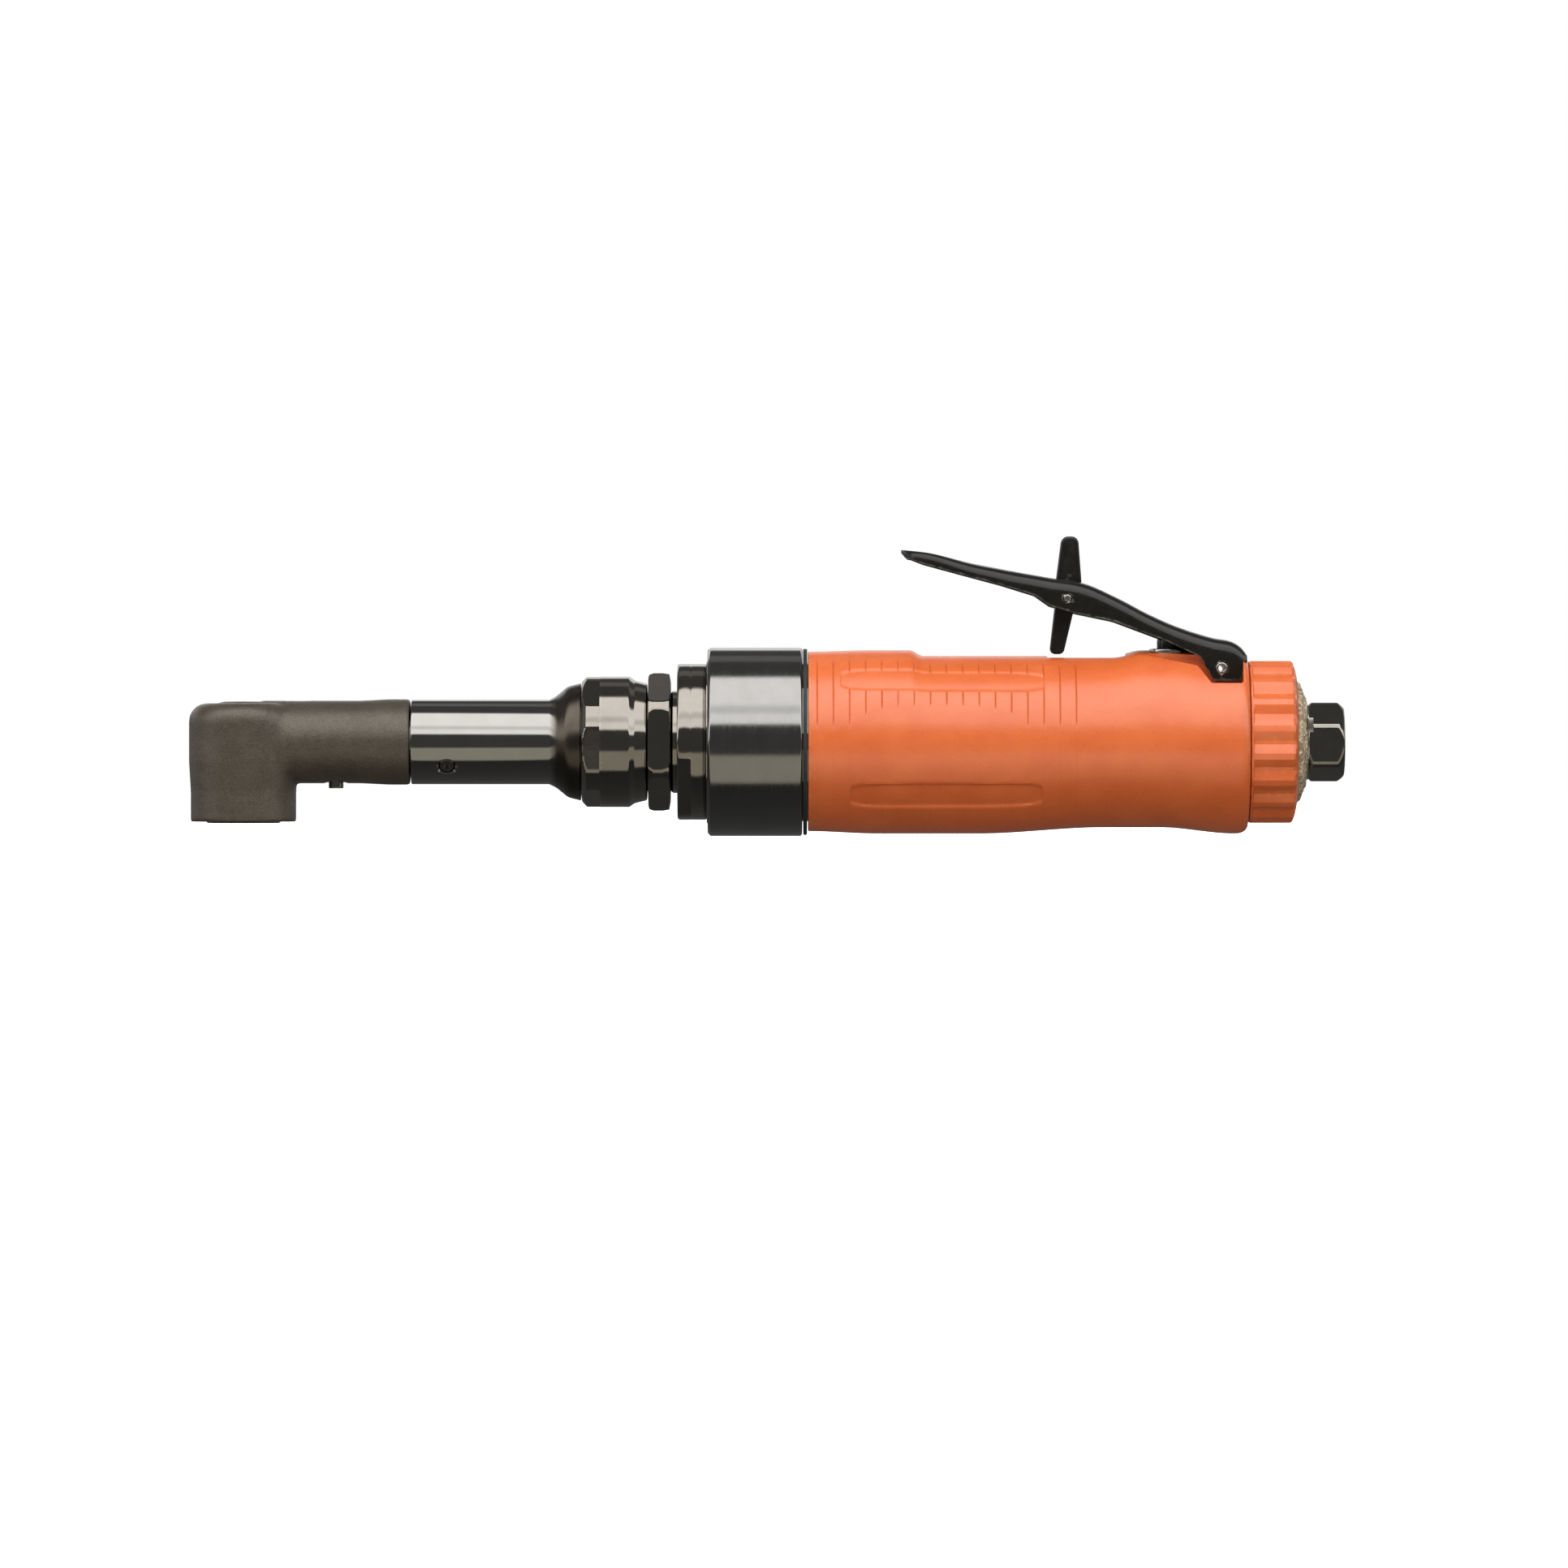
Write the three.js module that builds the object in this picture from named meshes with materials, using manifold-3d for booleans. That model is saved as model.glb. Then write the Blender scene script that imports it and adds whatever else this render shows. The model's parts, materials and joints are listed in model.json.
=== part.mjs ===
// Lever-throttle right-angle air drill: a vane motor in a composite grip drives a planetary
// reduction, a shaft in a polished extension tube, and a bevel pair in a 90 degree head.
// Millimetres, +Z up. While it is built, X = 0 is the spindle axis and the tool axis lies on
// Y = Z = 0, with the air inlet at +X. The finished group is centred on its bounding box.
import * as THREE from 'three';
import { mergeVertices } from 'three/addons/utils/BufferGeometryUtils.js';
import Module from 'manifold-3d';

const wasm = await Module();
wasm.setup();

// ---------------------------------------------------------------- driving dimensions
const GAP = 0.3; // between a piece and the hole that was cut for it
const RUN = 0.12; // radial running clearance of a shaft in its bearing
const ROUND = 30; // facets of an outside diameter
const FINE = 16; // facets of an inner or small diameter

// stations along the tool axis
const ARM_END = 34.9;
const TUBE = [35.2, 70.7];
const COUPLING = [70.9, 84.6];
const LOCK_NUT = [84.9, 89.4];
const FLANGE = [90.9, 97.0];
const COLLAR = [97.2, 118.0];
const GRIP = [118.2, 210.2];
const EXHAUST = [210.5, 220.7];
const INLET_HEX = [223.1, 230.4];

// angle head
const HEAD = { radius: 11.4, sleeve: 11.05, top: 8.5, bottom: -16.7, step: -7.1, edge: 3.9, bore: 8.6 };
const ARM = { radius: 8.65, mouth: 8.95, flareFrom: 24.5, bore: 6.95 };
const SPINDLE = { nose: 5.0, journal: 3.0, shoulder: 9.4, face: 16.95, socket: 3.2, depth: 6.8, top: -7.1 };
const BEVEL = { pinionTeeth: 11, gearTeeth: 15, module: 0.96, inner: 0.64, backlash: 0.16 };

// planetary reduction
const PLANETARY = { sun: 12, planet: 15, ring: 42, module: 0.6, backlash: 0.09, face: [102.0, 108.6] };
const PLANETS = 3;

// vane motor
const MOTOR = { liner: [119.0, 158.0], bore: 11.7, offset: 1.3, outer: 15.3, rotor: 10, shaft: 3.0 };
const VANES = 5;
const VANE = { thickness: 1.2, height: 4.3, slot: 4.8 };
const SLEEVE = { x: [111.0, 166.5], inner: 15.6, outer: 16.6 };

// throttle valve, lever and lock-off tab
const VALVE_X = 194.1;
const PIVOT = new THREE.Vector3(204.6, 0, 15.4);
const LEVER = { width: 14.6, sheet: 1.6, slotWidth: 6.0 };
const TAB_PIN = new THREE.Vector3(-32.2, 0, 14.6); // from the lever's pivot
const TAB = { width: 5.0, pin: 0.8, pocket: [168.2, 184.8], pocketFloor: 14.1 };

// ---------------------------------------------------------------- materials
const finish = (color, roughness, metalness) => (
  new THREE.MeshStandardMaterial({ color, roughness, metalness })
);
const castSteel = finish(0x4b443a, 0.75, 0.6);
const polished = finish(0x3a3733, 0.12, 1.0);
const blackOxide = finish(0x2b2824, 0.35, 0.9);
const satinSteel = finish(0x4d4b47, 0.4, 1.0);
const composite = finish(0xe87032, 0.55, 0.0);
const leverBlack = finish(0x1e1c18, 0.4, 0.5);
const brightSteel = finish(0xb8b4a8, 0.3, 1.0);
const bearingSteel = finish(0x9a9a98, 0.3, 1.0);
const gearSteel = finish(0x77756f, 0.4, 1.0);
const felt = finish(0xa5967a, 0.95, 0.0);
const phenolic = finish(0x6b4a2f, 0.7, 0.0);

// ---------------------------------------------------------------- shape helpers
const rad = THREE.MathUtils.degToRad;

// Shared vertices joined, flat triangles dropped, faces turned outward.
function weld(geometry) {
  geometry.deleteAttribute('normal');
  geometry.deleteAttribute('uv');
  const joined = mergeVertices(geometry, 1e-3);
  const corners = [...joined.index.array];
  const kept = [];
  for (let i = 0; i < corners.length; i += 3) {
    const [a, b, c] = corners.slice(i, i + 3);
    if (a !== b && b !== c && c !== a) kept.push(a, b, c);
  }
  const at = (i) => new THREE.Vector3().fromBufferAttribute(joined.attributes.position, i);
  let volume = 0;
  for (let i = 0; i < kept.length; i += 3) {
    volume += at(kept[i]).dot(at(kept[i + 1]).cross(at(kept[i + 2])));
  }
  if (volume < 0) kept.reverse();
  joined.setIndex(kept);
  return joined;
}

function toManifold(geometry) {
  const closed = weld(geometry.clone());
  const vertProperties = new Float32Array(closed.attributes.position.array);
  const triVerts = new Uint32Array(closed.index.array);
  return new wasm.Manifold(new wasm.Mesh({ numProp: 3, vertProperties, triVerts }));
}

function fromManifold(solid) {
  const { vertProperties, triVerts } = solid.getMesh();
  const geometry = new THREE.BufferGeometry();
  geometry.setAttribute('position', new THREE.BufferAttribute(new Float32Array(vertProperties), 3));
  geometry.setIndex([...triVerts]);
  return geometry;
}

const combine = (how) => (first, ...others) =>
  fromManifold(others.reduce((solid, other) => solid[how](toManifold(other)), toManifold(first)));
const join = combine('add');
const cut = combine('subtract');
const common = combine('intersect');

// Solid of revolution about X from [x, radius] points: both ends on the axis, or a closed ring.
function turned(profile, segments = FINE) {
  const ring = profile[0][1] > 0;
  const points = [...profile, ...(ring ? [profile[0]] : [])].map(([x, r]) => new THREE.Vector2(r, x));
  return new THREE.LatheGeometry(points, segments).rotateZ(-Math.PI / 2);
}

const bar = (x0, x1, r, segments = FINE) => turned([[x0, 0], [x0, r], [x1, r], [x1, 0]], segments);

const tube = (x0, x1, inner, outer, segments = FINE) =>
  turned([[x0, inner], [x0, outer], [x1, outer], [x1, inner]], segments);

const hexBar = (x0, x1, corner, phase = 0) => bar(x0, x1, corner, 6).rotateX(rad(phase));

const upright = (geometry, x = 0, y = 0) => geometry.rotateY(-Math.PI / 2).translate(x, y, 0);

function box([x0, x1], [y0, y1], [z0, z1]) {
  const middle = [(x0 + x1) / 2, (y0 + y1) / 2, (z0 + z1) / 2];
  return new THREE.BoxGeometry(x1 - x0, y1 - y0, z1 - z0).translate(...middle);
}

const shapeOf = (points) => new THREE.Shape(points.map(([a, b]) => new THREE.Vector2(a, b)));

// Outline in (y, z), pushed along X.
function plateX(shape, x0, x1) {
  const settings = { depth: x1 - x0, bevelEnabled: false, curveSegments: FINE / 2 };
  const plate = new THREE.ExtrudeGeometry(shape, settings);
  return plate.rotateX(Math.PI / 2).rotateZ(Math.PI / 2).translate(x0, 0, 0);
}

// Outline in (x, z), pushed along Y.
function plateY(shape, y0, y1, curveSegments = 6) {
  const settings = { depth: y1 - y0, bevelEnabled: false, curveSegments };
  return new THREE.ExtrudeGeometry(shape, settings).rotateX(Math.PI / 2).translate(0, y1, 0);
}

// Closed solid about X whose [x, radius] profile changes with the angle around the axis.
function polarSolid(angles, profileAt) {
  const rows = angles.map((angle) => profileAt(angle));
  const count = rows[0].length;
  const ring = rows[0][0][1] > 0;
  const vertices = [];
  rows.forEach((row, i) => row.forEach(([x, r]) => {
    vertices.push(x, r * Math.cos(angles[i]), r * Math.sin(angles[i]));
  }));
  const index = [];
  for (let i = 0; i < rows.length; i += 1) {
    const next = (i + 1) % rows.length;
    for (let j = 0; j < (ring ? count : count - 1); j += 1) {
      const k = (j + 1) % count;
      index.push(i * count + j, next * count + j, next * count + k);
      index.push(i * count + j, next * count + k, i * count + k);
    }
  }
  const geometry = new THREE.BufferGeometry();
  geometry.setAttribute('position', new THREE.Float32BufferAttribute(vertices, 3));
  geometry.setIndex(index);
  return weld(geometry);
}

// Round wire along a curve.
function wire(curve, radius, steps, sides = 5) {
  const centre = new THREE.Vector2();
  const corner = (_, i) => new THREE.Vector2(radius, 0).rotateAround(centre, 2 * Math.PI * i / sides);
  const shape = new THREE.Shape(Array.from({ length: sides }, corner));
  return new THREE.ExtrudeGeometry(shape, { extrudePath: curve, steps, bevelEnabled: false });
}

class Helix extends THREE.Curve {
  constructor(radius, turns, height) {
    super();
    Object.assign(this, { radius, turns, height });
  }

  getPoint(t, target = new THREE.Vector3()) {
    const angle = 2 * Math.PI * this.turns * t;
    return target.set(this.radius * Math.cos(angle), this.radius * Math.sin(angle), this.height * t);
  }
}

// Smooth height at x between [x, value] stations.
function contour(stations, x) {
  const after = stations.findIndex(([at]) => at >= x);
  if (after === 0) return stations[0][1];
  if (after < 0) return stations.at(-1)[1];
  const [[xa, a], [xb, b]] = stations.slice(after - 1, after + 1);
  return THREE.MathUtils.lerp(a, b, THREE.MathUtils.smoothstep(x, xa, xb));
}

// ---------------------------------------------------------------- gear helpers
const PRESSURE = rad(20);
const involute = (angle) => Math.tan(angle) - angle;

// Half the angle that an involute tooth takes up at a radius.
function halfTooth(teeth, module, radius, slack) {
  const pitch = teeth * module / 2;
  const base = pitch * Math.cos(PRESSURE);
  const here = Math.acos(Math.min(1, base / radius));
  return Math.PI / (2 * teeth) + involute(PRESSURE) - involute(here) - slack / (2 * pitch);
}

// Spur outline: one tooth centred on startAngle, measured from +Y towards +Z.
function spurOutline(teeth, module, {
  startAngle = 0, addendum = 0.95, dedendum = 1.2, slack, steps = [0, 0.5, 1],
}) {
  const pitch = teeth * module / 2;
  const radii = steps.map((t) => pitch + module * THREE.MathUtils.lerp(-dedendum, addendum, t));
  const points = [];
  for (let tooth = 0; tooth < teeth; tooth += 1) {
    const centre = startAngle + 2 * Math.PI * tooth / teeth;
    const flank = radii.map((r) => [r, halfTooth(teeth, module, r, slack)]);
    const outline = [...flank.map(([r, half]) => [r, -half]), ...flank.reverse()];
    outline.forEach(([r, turn]) => points.push([r * Math.cos(centre + turn), r * Math.sin(centre + turn)]));
  }
  return points;
}

const circleHole = (radius) => new THREE.Path().absarc(0, 0, radius, 0, 2 * Math.PI, true);

function spurGear(points, bore, [x0, x1]) {
  const shape = shapeOf(points);
  if (bore) shape.holes.push(circleHole(bore));
  return plateX(shape, x0, x1);
}

// Straight bevel gear about X, its apex at x = 0 and its teeth on the pitch cone. The rest of
// the profile, from the outer end of a tooth to the axis or bore, is given as [x, radius] points.
function bevelGear(teeth, mateTeeth, startAngle, { front, back }) {
  const { module, inner, backlash } = BEVEL;
  const pitch = teeth * module / 2;
  const axial = mateTeeth * module / 2;
  const cone = Math.atan2(pitch, axial);
  const equivalent = teeth / Math.cos(cone);
  const angles = [];
  const heights = [];
  for (let tooth = 0; tooth < teeth; tooth += 1) {
    const centre = startAngle + 2 * Math.PI * tooth / teeth;
    const half = (height) => {
      const radius = equivalent * module / 2 + height;
      return halfTooth(equivalent, module, radius, backlash) / Math.cos(cone);
    };
    const steps = [-1.2 * module, 0.9 * module];
    const side = steps.map((height) => [half(height), height]);
    side.forEach(([turn, height]) => {
      angles.push(centre - turn);
      heights.push(height);
    });
    side.reverse().forEach(([turn, height]) => {
      angles.push(centre + turn);
      heights.push(height);
    });
  }
  const heightOf = new Map(angles.map((angle, i) => [angle, heights[i]]));
  return polarSolid(angles, (angle) => {
    const height = heightOf.get(angle);
    const outer = [axial - height * Math.sin(cone), pitch + height * Math.cos(cone)];
    return [...front, outer.map((value) => value * inner), outer, ...back];
  });
}

// ---------------------------------------------------------------- scene helpers
function place(parent, name, geometry, material) {
  const mesh = new THREE.Mesh(weld(geometry), material);
  mesh.name = name;
  parent.add(mesh);
  return mesh;
}

function section(parent, position = new THREE.Vector3()) {
  const group = new THREE.Group();
  group.position.copy(position);
  parent.add(group);
  return group;
}

// ---------------------------------------------------------------- angle head
function buildHeadHousing() {
  const { radius, sleeve, top, bottom, step, edge, bore } = HEAD;
  const corner = Array.from({ length: 5 }, (_, i) => {
    const turn = i * Math.PI / 8;
    return [top - 0.35 - edge * (1 - Math.cos(turn)), radius - edge + edge * Math.sin(turn)];
  });
  const barrel = upright(turned([
    [top, 0], [top - 0.05, 4.2], [top - 0.35, 5.0], ...corner,
    [step, radius], [step, sleeve], [bottom, sleeve], [bottom, 0],
  ], ROUND));
  const arm = turned([
    [0, 0], [0, ARM.radius], [ARM.flareFrom, ARM.radius], [ARM_END, ARM.mouth], [ARM_END, 0],
  ], ROUND);
  const spindleBore = upright(bar(bottom - 1, 4.8, bore, ROUND));
  const bearingSeat = upright(bar(4, 7.4, 5.4));
  const armBore = bar(0, ARM_END + 1, ARM.bore);
  const plugHole = upright(bar(-12, -4, 1.8, 16), 19.4);
  return cut(join(barrel, arm), spindleBore, bearingSeat, armBore, plugHole);
}

// The spindle line is turned about its own axis, with x counted downwards from the tool axis.
function buildSpindleLine(head) {
  const line = section(head);
  line.rotation.y = Math.PI / 2;
  const { nose, journal, shoulder, face, socket, depth, top } = SPINDLE;
  const spindle = turned([
    [top, 0], [top, journal], [shoulder, journal], [shoulder, nose], [face, nose],
    [face, socket + 0.5], [face - 0.5, socket], [face - depth, socket], [face - depth - 1.2, 0],
  ], 24);
  place(line, 'output_spindle', spindle, gearSteel);

  const { pinionTeeth, gearTeeth, module } = BEVEL;
  const gearPhase = Math.PI + Math.PI / gearTeeth;
  const bore = journal + GAP;
  const gear = bevelGear(gearTeeth, pinionTeeth, gearPhase, {
    front: [[8.9, bore], [pinionTeeth * module / 2 * 0.74, bore]],
    back: [[7.4, 5.9], [8.9, 5.9]],
  });
  // The gear's outline is drawn in (y, z); turned down, +Z of the outline faces the pinion.
  place(line, 'spindle_bevel_gear', gear.rotateX(-Math.PI / 2), gearSteel);

  place(line, 'upper_spindle_bearing', tube(-7.2, -5.1, journal + RUN, 5.1), bearingSteel);
  place(line, 'lower_spindle_bearing', tube(9.9, 13.9, nose + RUN, HEAD.bore - GAP), bearingSteel);
  const retainer = turned([
    [14.2, nose + 0.5], [14.2, HEAD.bore - GAP], [16.6, HEAD.bore - GAP], [16.6, 7.9], [17.0, 7.5],
    [17.0, nose + 0.5],
  ], ROUND);
  place(line, 'spindle_retainer', retainer, blackOxide);
}

function buildHead(parent) {
  const head = section(parent);
  place(head, 'angle_head_housing', buildHeadHousing(), castSteel);
  const plug = upright(join(bar(-9.7, -7.3, 1.5, 16), bar(-9.7, -9.0, 1.65, 6)), 19.4);
  place(head, 'grease_plug', plug, blackOxide);
  buildSpindleLine(head);
  const outer = ARM.bore - GAP;
  place(head, 'pinion_front_bearing', tube(9.2, 13.2, MOTOR.shaft + RUN, outer), bearingSteel);
  place(head, 'bearing_spacer', tube(13.5, 26.7, MOTOR.shaft + 1.6, outer), gearSteel);
  place(head, 'pinion_rear_bearing', tube(27.0, 31.0, MOTOR.shaft + RUN, outer), bearingSteel);
}

// ---------------------------------------------------------------- extension and nuts
function buildExtension(parent) {
  const extension = section(parent);
  const wall = 8.84;
  const bell = Array.from({ length: 5 }, (_, i) => {
    const t = (i + 1) / 5;
    return [63.7 + 6.8 * t, wall + 3.75 * Math.sin(t * Math.PI / 2) ** 1.15];
  });
  const body = turned([
    [TUBE[0], ARM.bore], [TUBE[0], wall], [63.7, wall], ...bell, [TUBE[1], 12.6],
    [TUBE[1], 9.9], [76.9, 9.9], [76.9, ARM.bore],
  ], ROUND);
  const pinHole = bar(0, 12, 1.8, 12).rotateY(-Math.PI / 2);
  // The hole points towards -Y, 37 degrees below the horizontal.
  pinHole.rotateX(rad(127)).translate(42.8, 0, 0);
  place(extension, 'extension_tube', cut(body, pinHole), polished);
  const screw = bar(ARM.bore + 0.1, 8.3, 1.5, 12).rotateY(-Math.PI / 2);
  place(extension, 'tube_set_screw', screw.rotateX(rad(127)).translate(42.8, 0, 0), blackOxide);

  const [nutStart, nutEnd] = COUPLING;
  const thread = 10.7;
  // The hexagons' corners are turned down, so each one is a narrow round land between two flats.
  const hexagon = common(hexBar(nutStart, 75.2, 14.78, 67.4), turned([
    [nutStart, 0], [nutStart, 12.7], [nutStart + 0.9, 13.6], [75.2, 13.6], [75.2, 0],
  ], ROUND));
  const round = turned([
    [74.7, 0], [74.7, 13.6], [80.1, 13.6], [81.7, 12.3], [nutEnd, 12.2], [nutEnd, 0],
  ], ROUND);
  const couplingBore = bar(nutStart - 1, nutEnd + 1, thread);
  place(extension, 'coupling_nut', cut(join(hexagon, round), couplingBore), blackOxide);

  const [lockStart, lockEnd] = LOCK_NUT;
  const lockHex = common(hexBar(lockStart, lockEnd, 14.9, 57.7), turned([
    [lockStart, 0], [lockStart, 13.6], [lockStart + 0.7, 14.3],
    [lockEnd - 1.2, 14.3], [lockEnd, 12.9], [lockEnd, 0],
  ], ROUND));
  place(extension, 'lock_nut', cut(lockHex, bar(lockStart - 1, lockEnd + 1, thread)), blackOxide);
}

// ---------------------------------------------------------------- gear case
function buildGearCase(parent) {
  const gearCase = section(parent);
  const nose = 10.4;
  const body = turned([
    [77.2, 6.2], [77.2, nose], [89.5, nose], [FLANGE[0], nose + 0.3], [FLANGE[0], 16.0],
    [FLANGE[0] + 0.3, 16.3], [FLANGE[1], 16.3], [FLANGE[1], 17.0], [110.7, 17.0], [110.7, 15.5],
    [98.6, 15.5], [98.6, 9.7], [92.0, 9.7], [92.0, 6.2],
  ], ROUND);
  const flat = (angle) => box([FLANGE[0] - 1, 93.8], [14.2, 20], [-20, 20]).rotateX(rad(angle));
  place(gearCase, 'gear_case', cut(body, flat(42), flat(222)), blackOxide);
  place(gearCase, 'carrier_bearing', tube(92.2, 96.8, 5.0 + RUN, 9.4), bearingSteel);

  const [collarStart, collarEnd] = COLLAR;
  const collar = turned([
    [collarStart, 17.3], [collarStart, 19.2], [collarStart + 0.5, 19.7], [collarEnd - 0.5, 19.7],
    [collarEnd, 19.2], [collarEnd, 17.3],
  ], 40);
  place(gearCase, 'housing_collar', collar, satinSteel);

  const { ring, module, backlash, face } = PLANETARY;
  const spaces = spurOutline(ring, module, {
    startAngle: Math.PI / 2, addendum: 1.2, dedendum: 0.85, slack: -backlash, steps: [0, 1],
  });
  const shape = new THREE.Shape().absarc(0, 0, 15.2, 0, 2 * Math.PI);
  shape.holes.push(new THREE.Path(spaces.reverse().map(([y, z]) => new THREE.Vector2(y, z))));
  place(gearCase, 'ring_gear', plateX(shape, face[0] - 0.1, face[1] + 0.1), gearSteel);
}

// ---------------------------------------------------------------- drive train
const planetDistance = (PLANETARY.sun + PLANETARY.planet) * PLANETARY.module / 2;
const planetAngle = (k) => Math.PI / 2 + 2 * Math.PI * k / PLANETS;

function buildDriveTrain(parent) {
  const train = section(parent);
  const { pinionTeeth, gearTeeth, module } = BEVEL;
  const pinionFront = gearTeeth * module / 2 * 0.66;
  const pinion = bevelGear(pinionTeeth, gearTeeth, -Math.PI / 2, {
    front: [[pinionFront, 0]],
    back: [[8.8, 3.9], [8.8, MOTOR.shaft], [31.3, MOTOR.shaft], [31.3, 0]],
  });
  place(train, 'pinion_shaft', join(pinion, hexBar(31, 38, 2.2)), gearSteel);

  const socket = hexBar(31, 38.6, 2.2 + GAP);
  const driveBody = turned([
    [31.6, 0], [31.6, 4.4], [39.6, 4.4], [41.0, 2.9], [87.6, 2.9], [87.6, 0],
  ]);
  place(train, 'drive_shaft', join(cut(driveBody, socket), hexBar(87, 94.4, 2.2)), gearSteel);

  const carrierBody = turned([
    [87.9, 0], [87.9, 5.0], [99.0, 5.0], [99.0, 12.4], [101.6, 12.4], [101.6, 0],
  ], 30);
  const pinHoles = [];
  for (let k = 0; k < PLANETS; k += 1) {
    const at = [0, planetDistance * Math.cos(planetAngle(k)), planetDistance * Math.sin(planetAngle(k))];
    pinHoles.push(bar(98, 102, 1.4 + GAP, 12).translate(...at));
  }
  const carrierSocket = hexBar(87, 94.8, 2.2 + GAP);
  place(train, 'planet_carrier', cut(carrierBody, carrierSocket, ...pinHoles), gearSteel);

  const planetOutline = (k) => spurOutline(PLANETARY.planet, PLANETARY.module, {
    startAngle: planetAngle(k), slack: PLANETARY.backlash,
  });
  for (let k = 0; k < PLANETS; k += 1) {
    const angle = planetAngle(k);
    const at = new THREE.Vector3(0, planetDistance * Math.cos(angle), planetDistance * Math.sin(angle));
    const axle = section(train, at);
    place(axle, `planet_pin_${k + 1}`, bar(99.2, 109.2, 1.4, 12), bearingSteel);
    place(axle, `planet_gear_${k + 1}`, spurGear(planetOutline(k), 1.4 + RUN, PLANETARY.face), gearSteel);
  }
}

// ---------------------------------------------------------------- vane motor
function buildMotor(parent) {
  const motor = section(parent);
  const { liner, bore, offset, outer, rotor, shaft } = MOTOR;
  const [front, rear] = liner;

  place(motor, 'motor_sleeve', tube(...SLEEVE.x, SLEEVE.inner, SLEEVE.outer, ROUND), satinSteel);
  const plate = (x0, x1, seat) => turned([
    [x0, shaft + 0.5], [x0, outer], [x1, outer], [x1, 6.3], [x1 - seat, 6.3], [x1 - seat, shaft + 0.5],
  ], 30);
  place(motor, 'front_end_plate', plate(111.4, 118.7, 5.2), castSteel);
  place(motor, 'front_rotor_bearing', tube(113.8, 118.4, shaft + RUN, 6.0), bearingSteel);
  place(motor, 'rear_end_plate', plate(rear + 0.3, rear + 7.5, 4.8), castSteel);
  place(motor, 'rear_rotor_bearing', tube(rear + 3.0, rear + 7.2, shaft + RUN, 6.0), bearingSteel);

  const middle = (front + rear) / 2;
  const ports = [-9, 0, 9].map((x) => box([-2.5, 2.5], [-2.2, 2.2], [-20, -5]).translate(middle + x, 0, 0));
  const linerBore = bar(front - 1, rear + 1, bore, 30).translate(0, 0, offset);
  const linerBody = cut(bar(front, rear, outer, 30), linerBore, ...ports);
  place(motor, 'cylinder_liner', linerBody, gearSteel);

  const body = turned([
    [102.3, 0], [102.3, 2.0], [111.0, 2.0], [111.0, shaft], [front + 0.3, shaft], [front + 0.3, rotor],
    [rear - 0.3, rotor], [rear - 0.3, shaft], [rear + 7.0, shaft], [rear + 7.0, 0],
  ], 30);
  const slots = [];
  const vaneAngle = (k) => 2 * Math.PI * k / VANES;
  for (let k = 0; k < VANES; k += 1) {
    const half = VANE.thickness / 2 + GAP;
    const slot = box([front, rear], [-half, half], [rotor - VANE.slot, rotor + 1]);
    slots.push(slot.rotateX(vaneAngle(k)));
  }
  place(motor, 'rotor', cut(body, ...slots), gearSteel);
  for (let k = 0; k < VANES; k += 1) {
    const half = VANE.thickness / 2;
    const vane = box([front + 0.4, rear - 0.4], [-half, half], [rotor - VANE.height, rotor - 0.05]);
    const mesh = place(motor, `vane_${k + 1}`, vane, phenolic);
    mesh.rotation.x = vaneAngle(k);
  }
  const { sun, module, backlash, face } = PLANETARY;
  const sunOutline = spurOutline(sun, module, { startAngle: Math.PI / 2, slack: backlash });
  place(motor, 'sun_gear', spurGear(sunOutline, 2.2, [face[0] + 0.2, face[1] + 0.6]), gearSteel);
}

// ---------------------------------------------------------------- grip
const GRIP_TOP = [
  [118.2, 18.9], [131, 19.2], [139.4, 19.2], [142.4, 18.0],
  [182, 18.0], [188, 19.2], [193.5, 19.2], [208, 18.4],
];
const GRIP_BOTTOM = [[118.2, 18.7], [133, 19.2], [154, 19.2], [180, 17.9], [192, 17.9], [207.5, 19.2]];
const GRIP_SIDE = [[118.2, 18.8], [133, 19.2], [154, 19.1], [180, 18.2], [192, 18.2], [207.5, 19.0]];

function buildGripShell() {
  const [front, rear] = GRIP;
  const stations = [front, 132, 139.4, 140.9, 142.4, 154, 165, 178, 182, 185, 188, 194, 201, 207.5];
  const rings = stations.map((x) => [x, 1]);
  rings.push([209.2, 0.985], [209.9, 0.955], [rear, 0.92]);
  const angles = Array.from({ length: ROUND }, (_, i) => 2 * Math.PI * i / ROUND);
  const skin = (x, angle) => {
    const upDown = contour(Math.sin(angle) > 0 ? GRIP_TOP : GRIP_BOTTOM, x);
    return Math.hypot(upDown * Math.sin(angle), contour(GRIP_SIDE, x) * Math.cos(angle));
  };
  return polarSolid(angles, (angle) => [
    [front, 0], ...rings.map(([x, shrink]) => [x, shrink * skin(x, angle)]), [rear, 0],
  ]);
}

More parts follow.
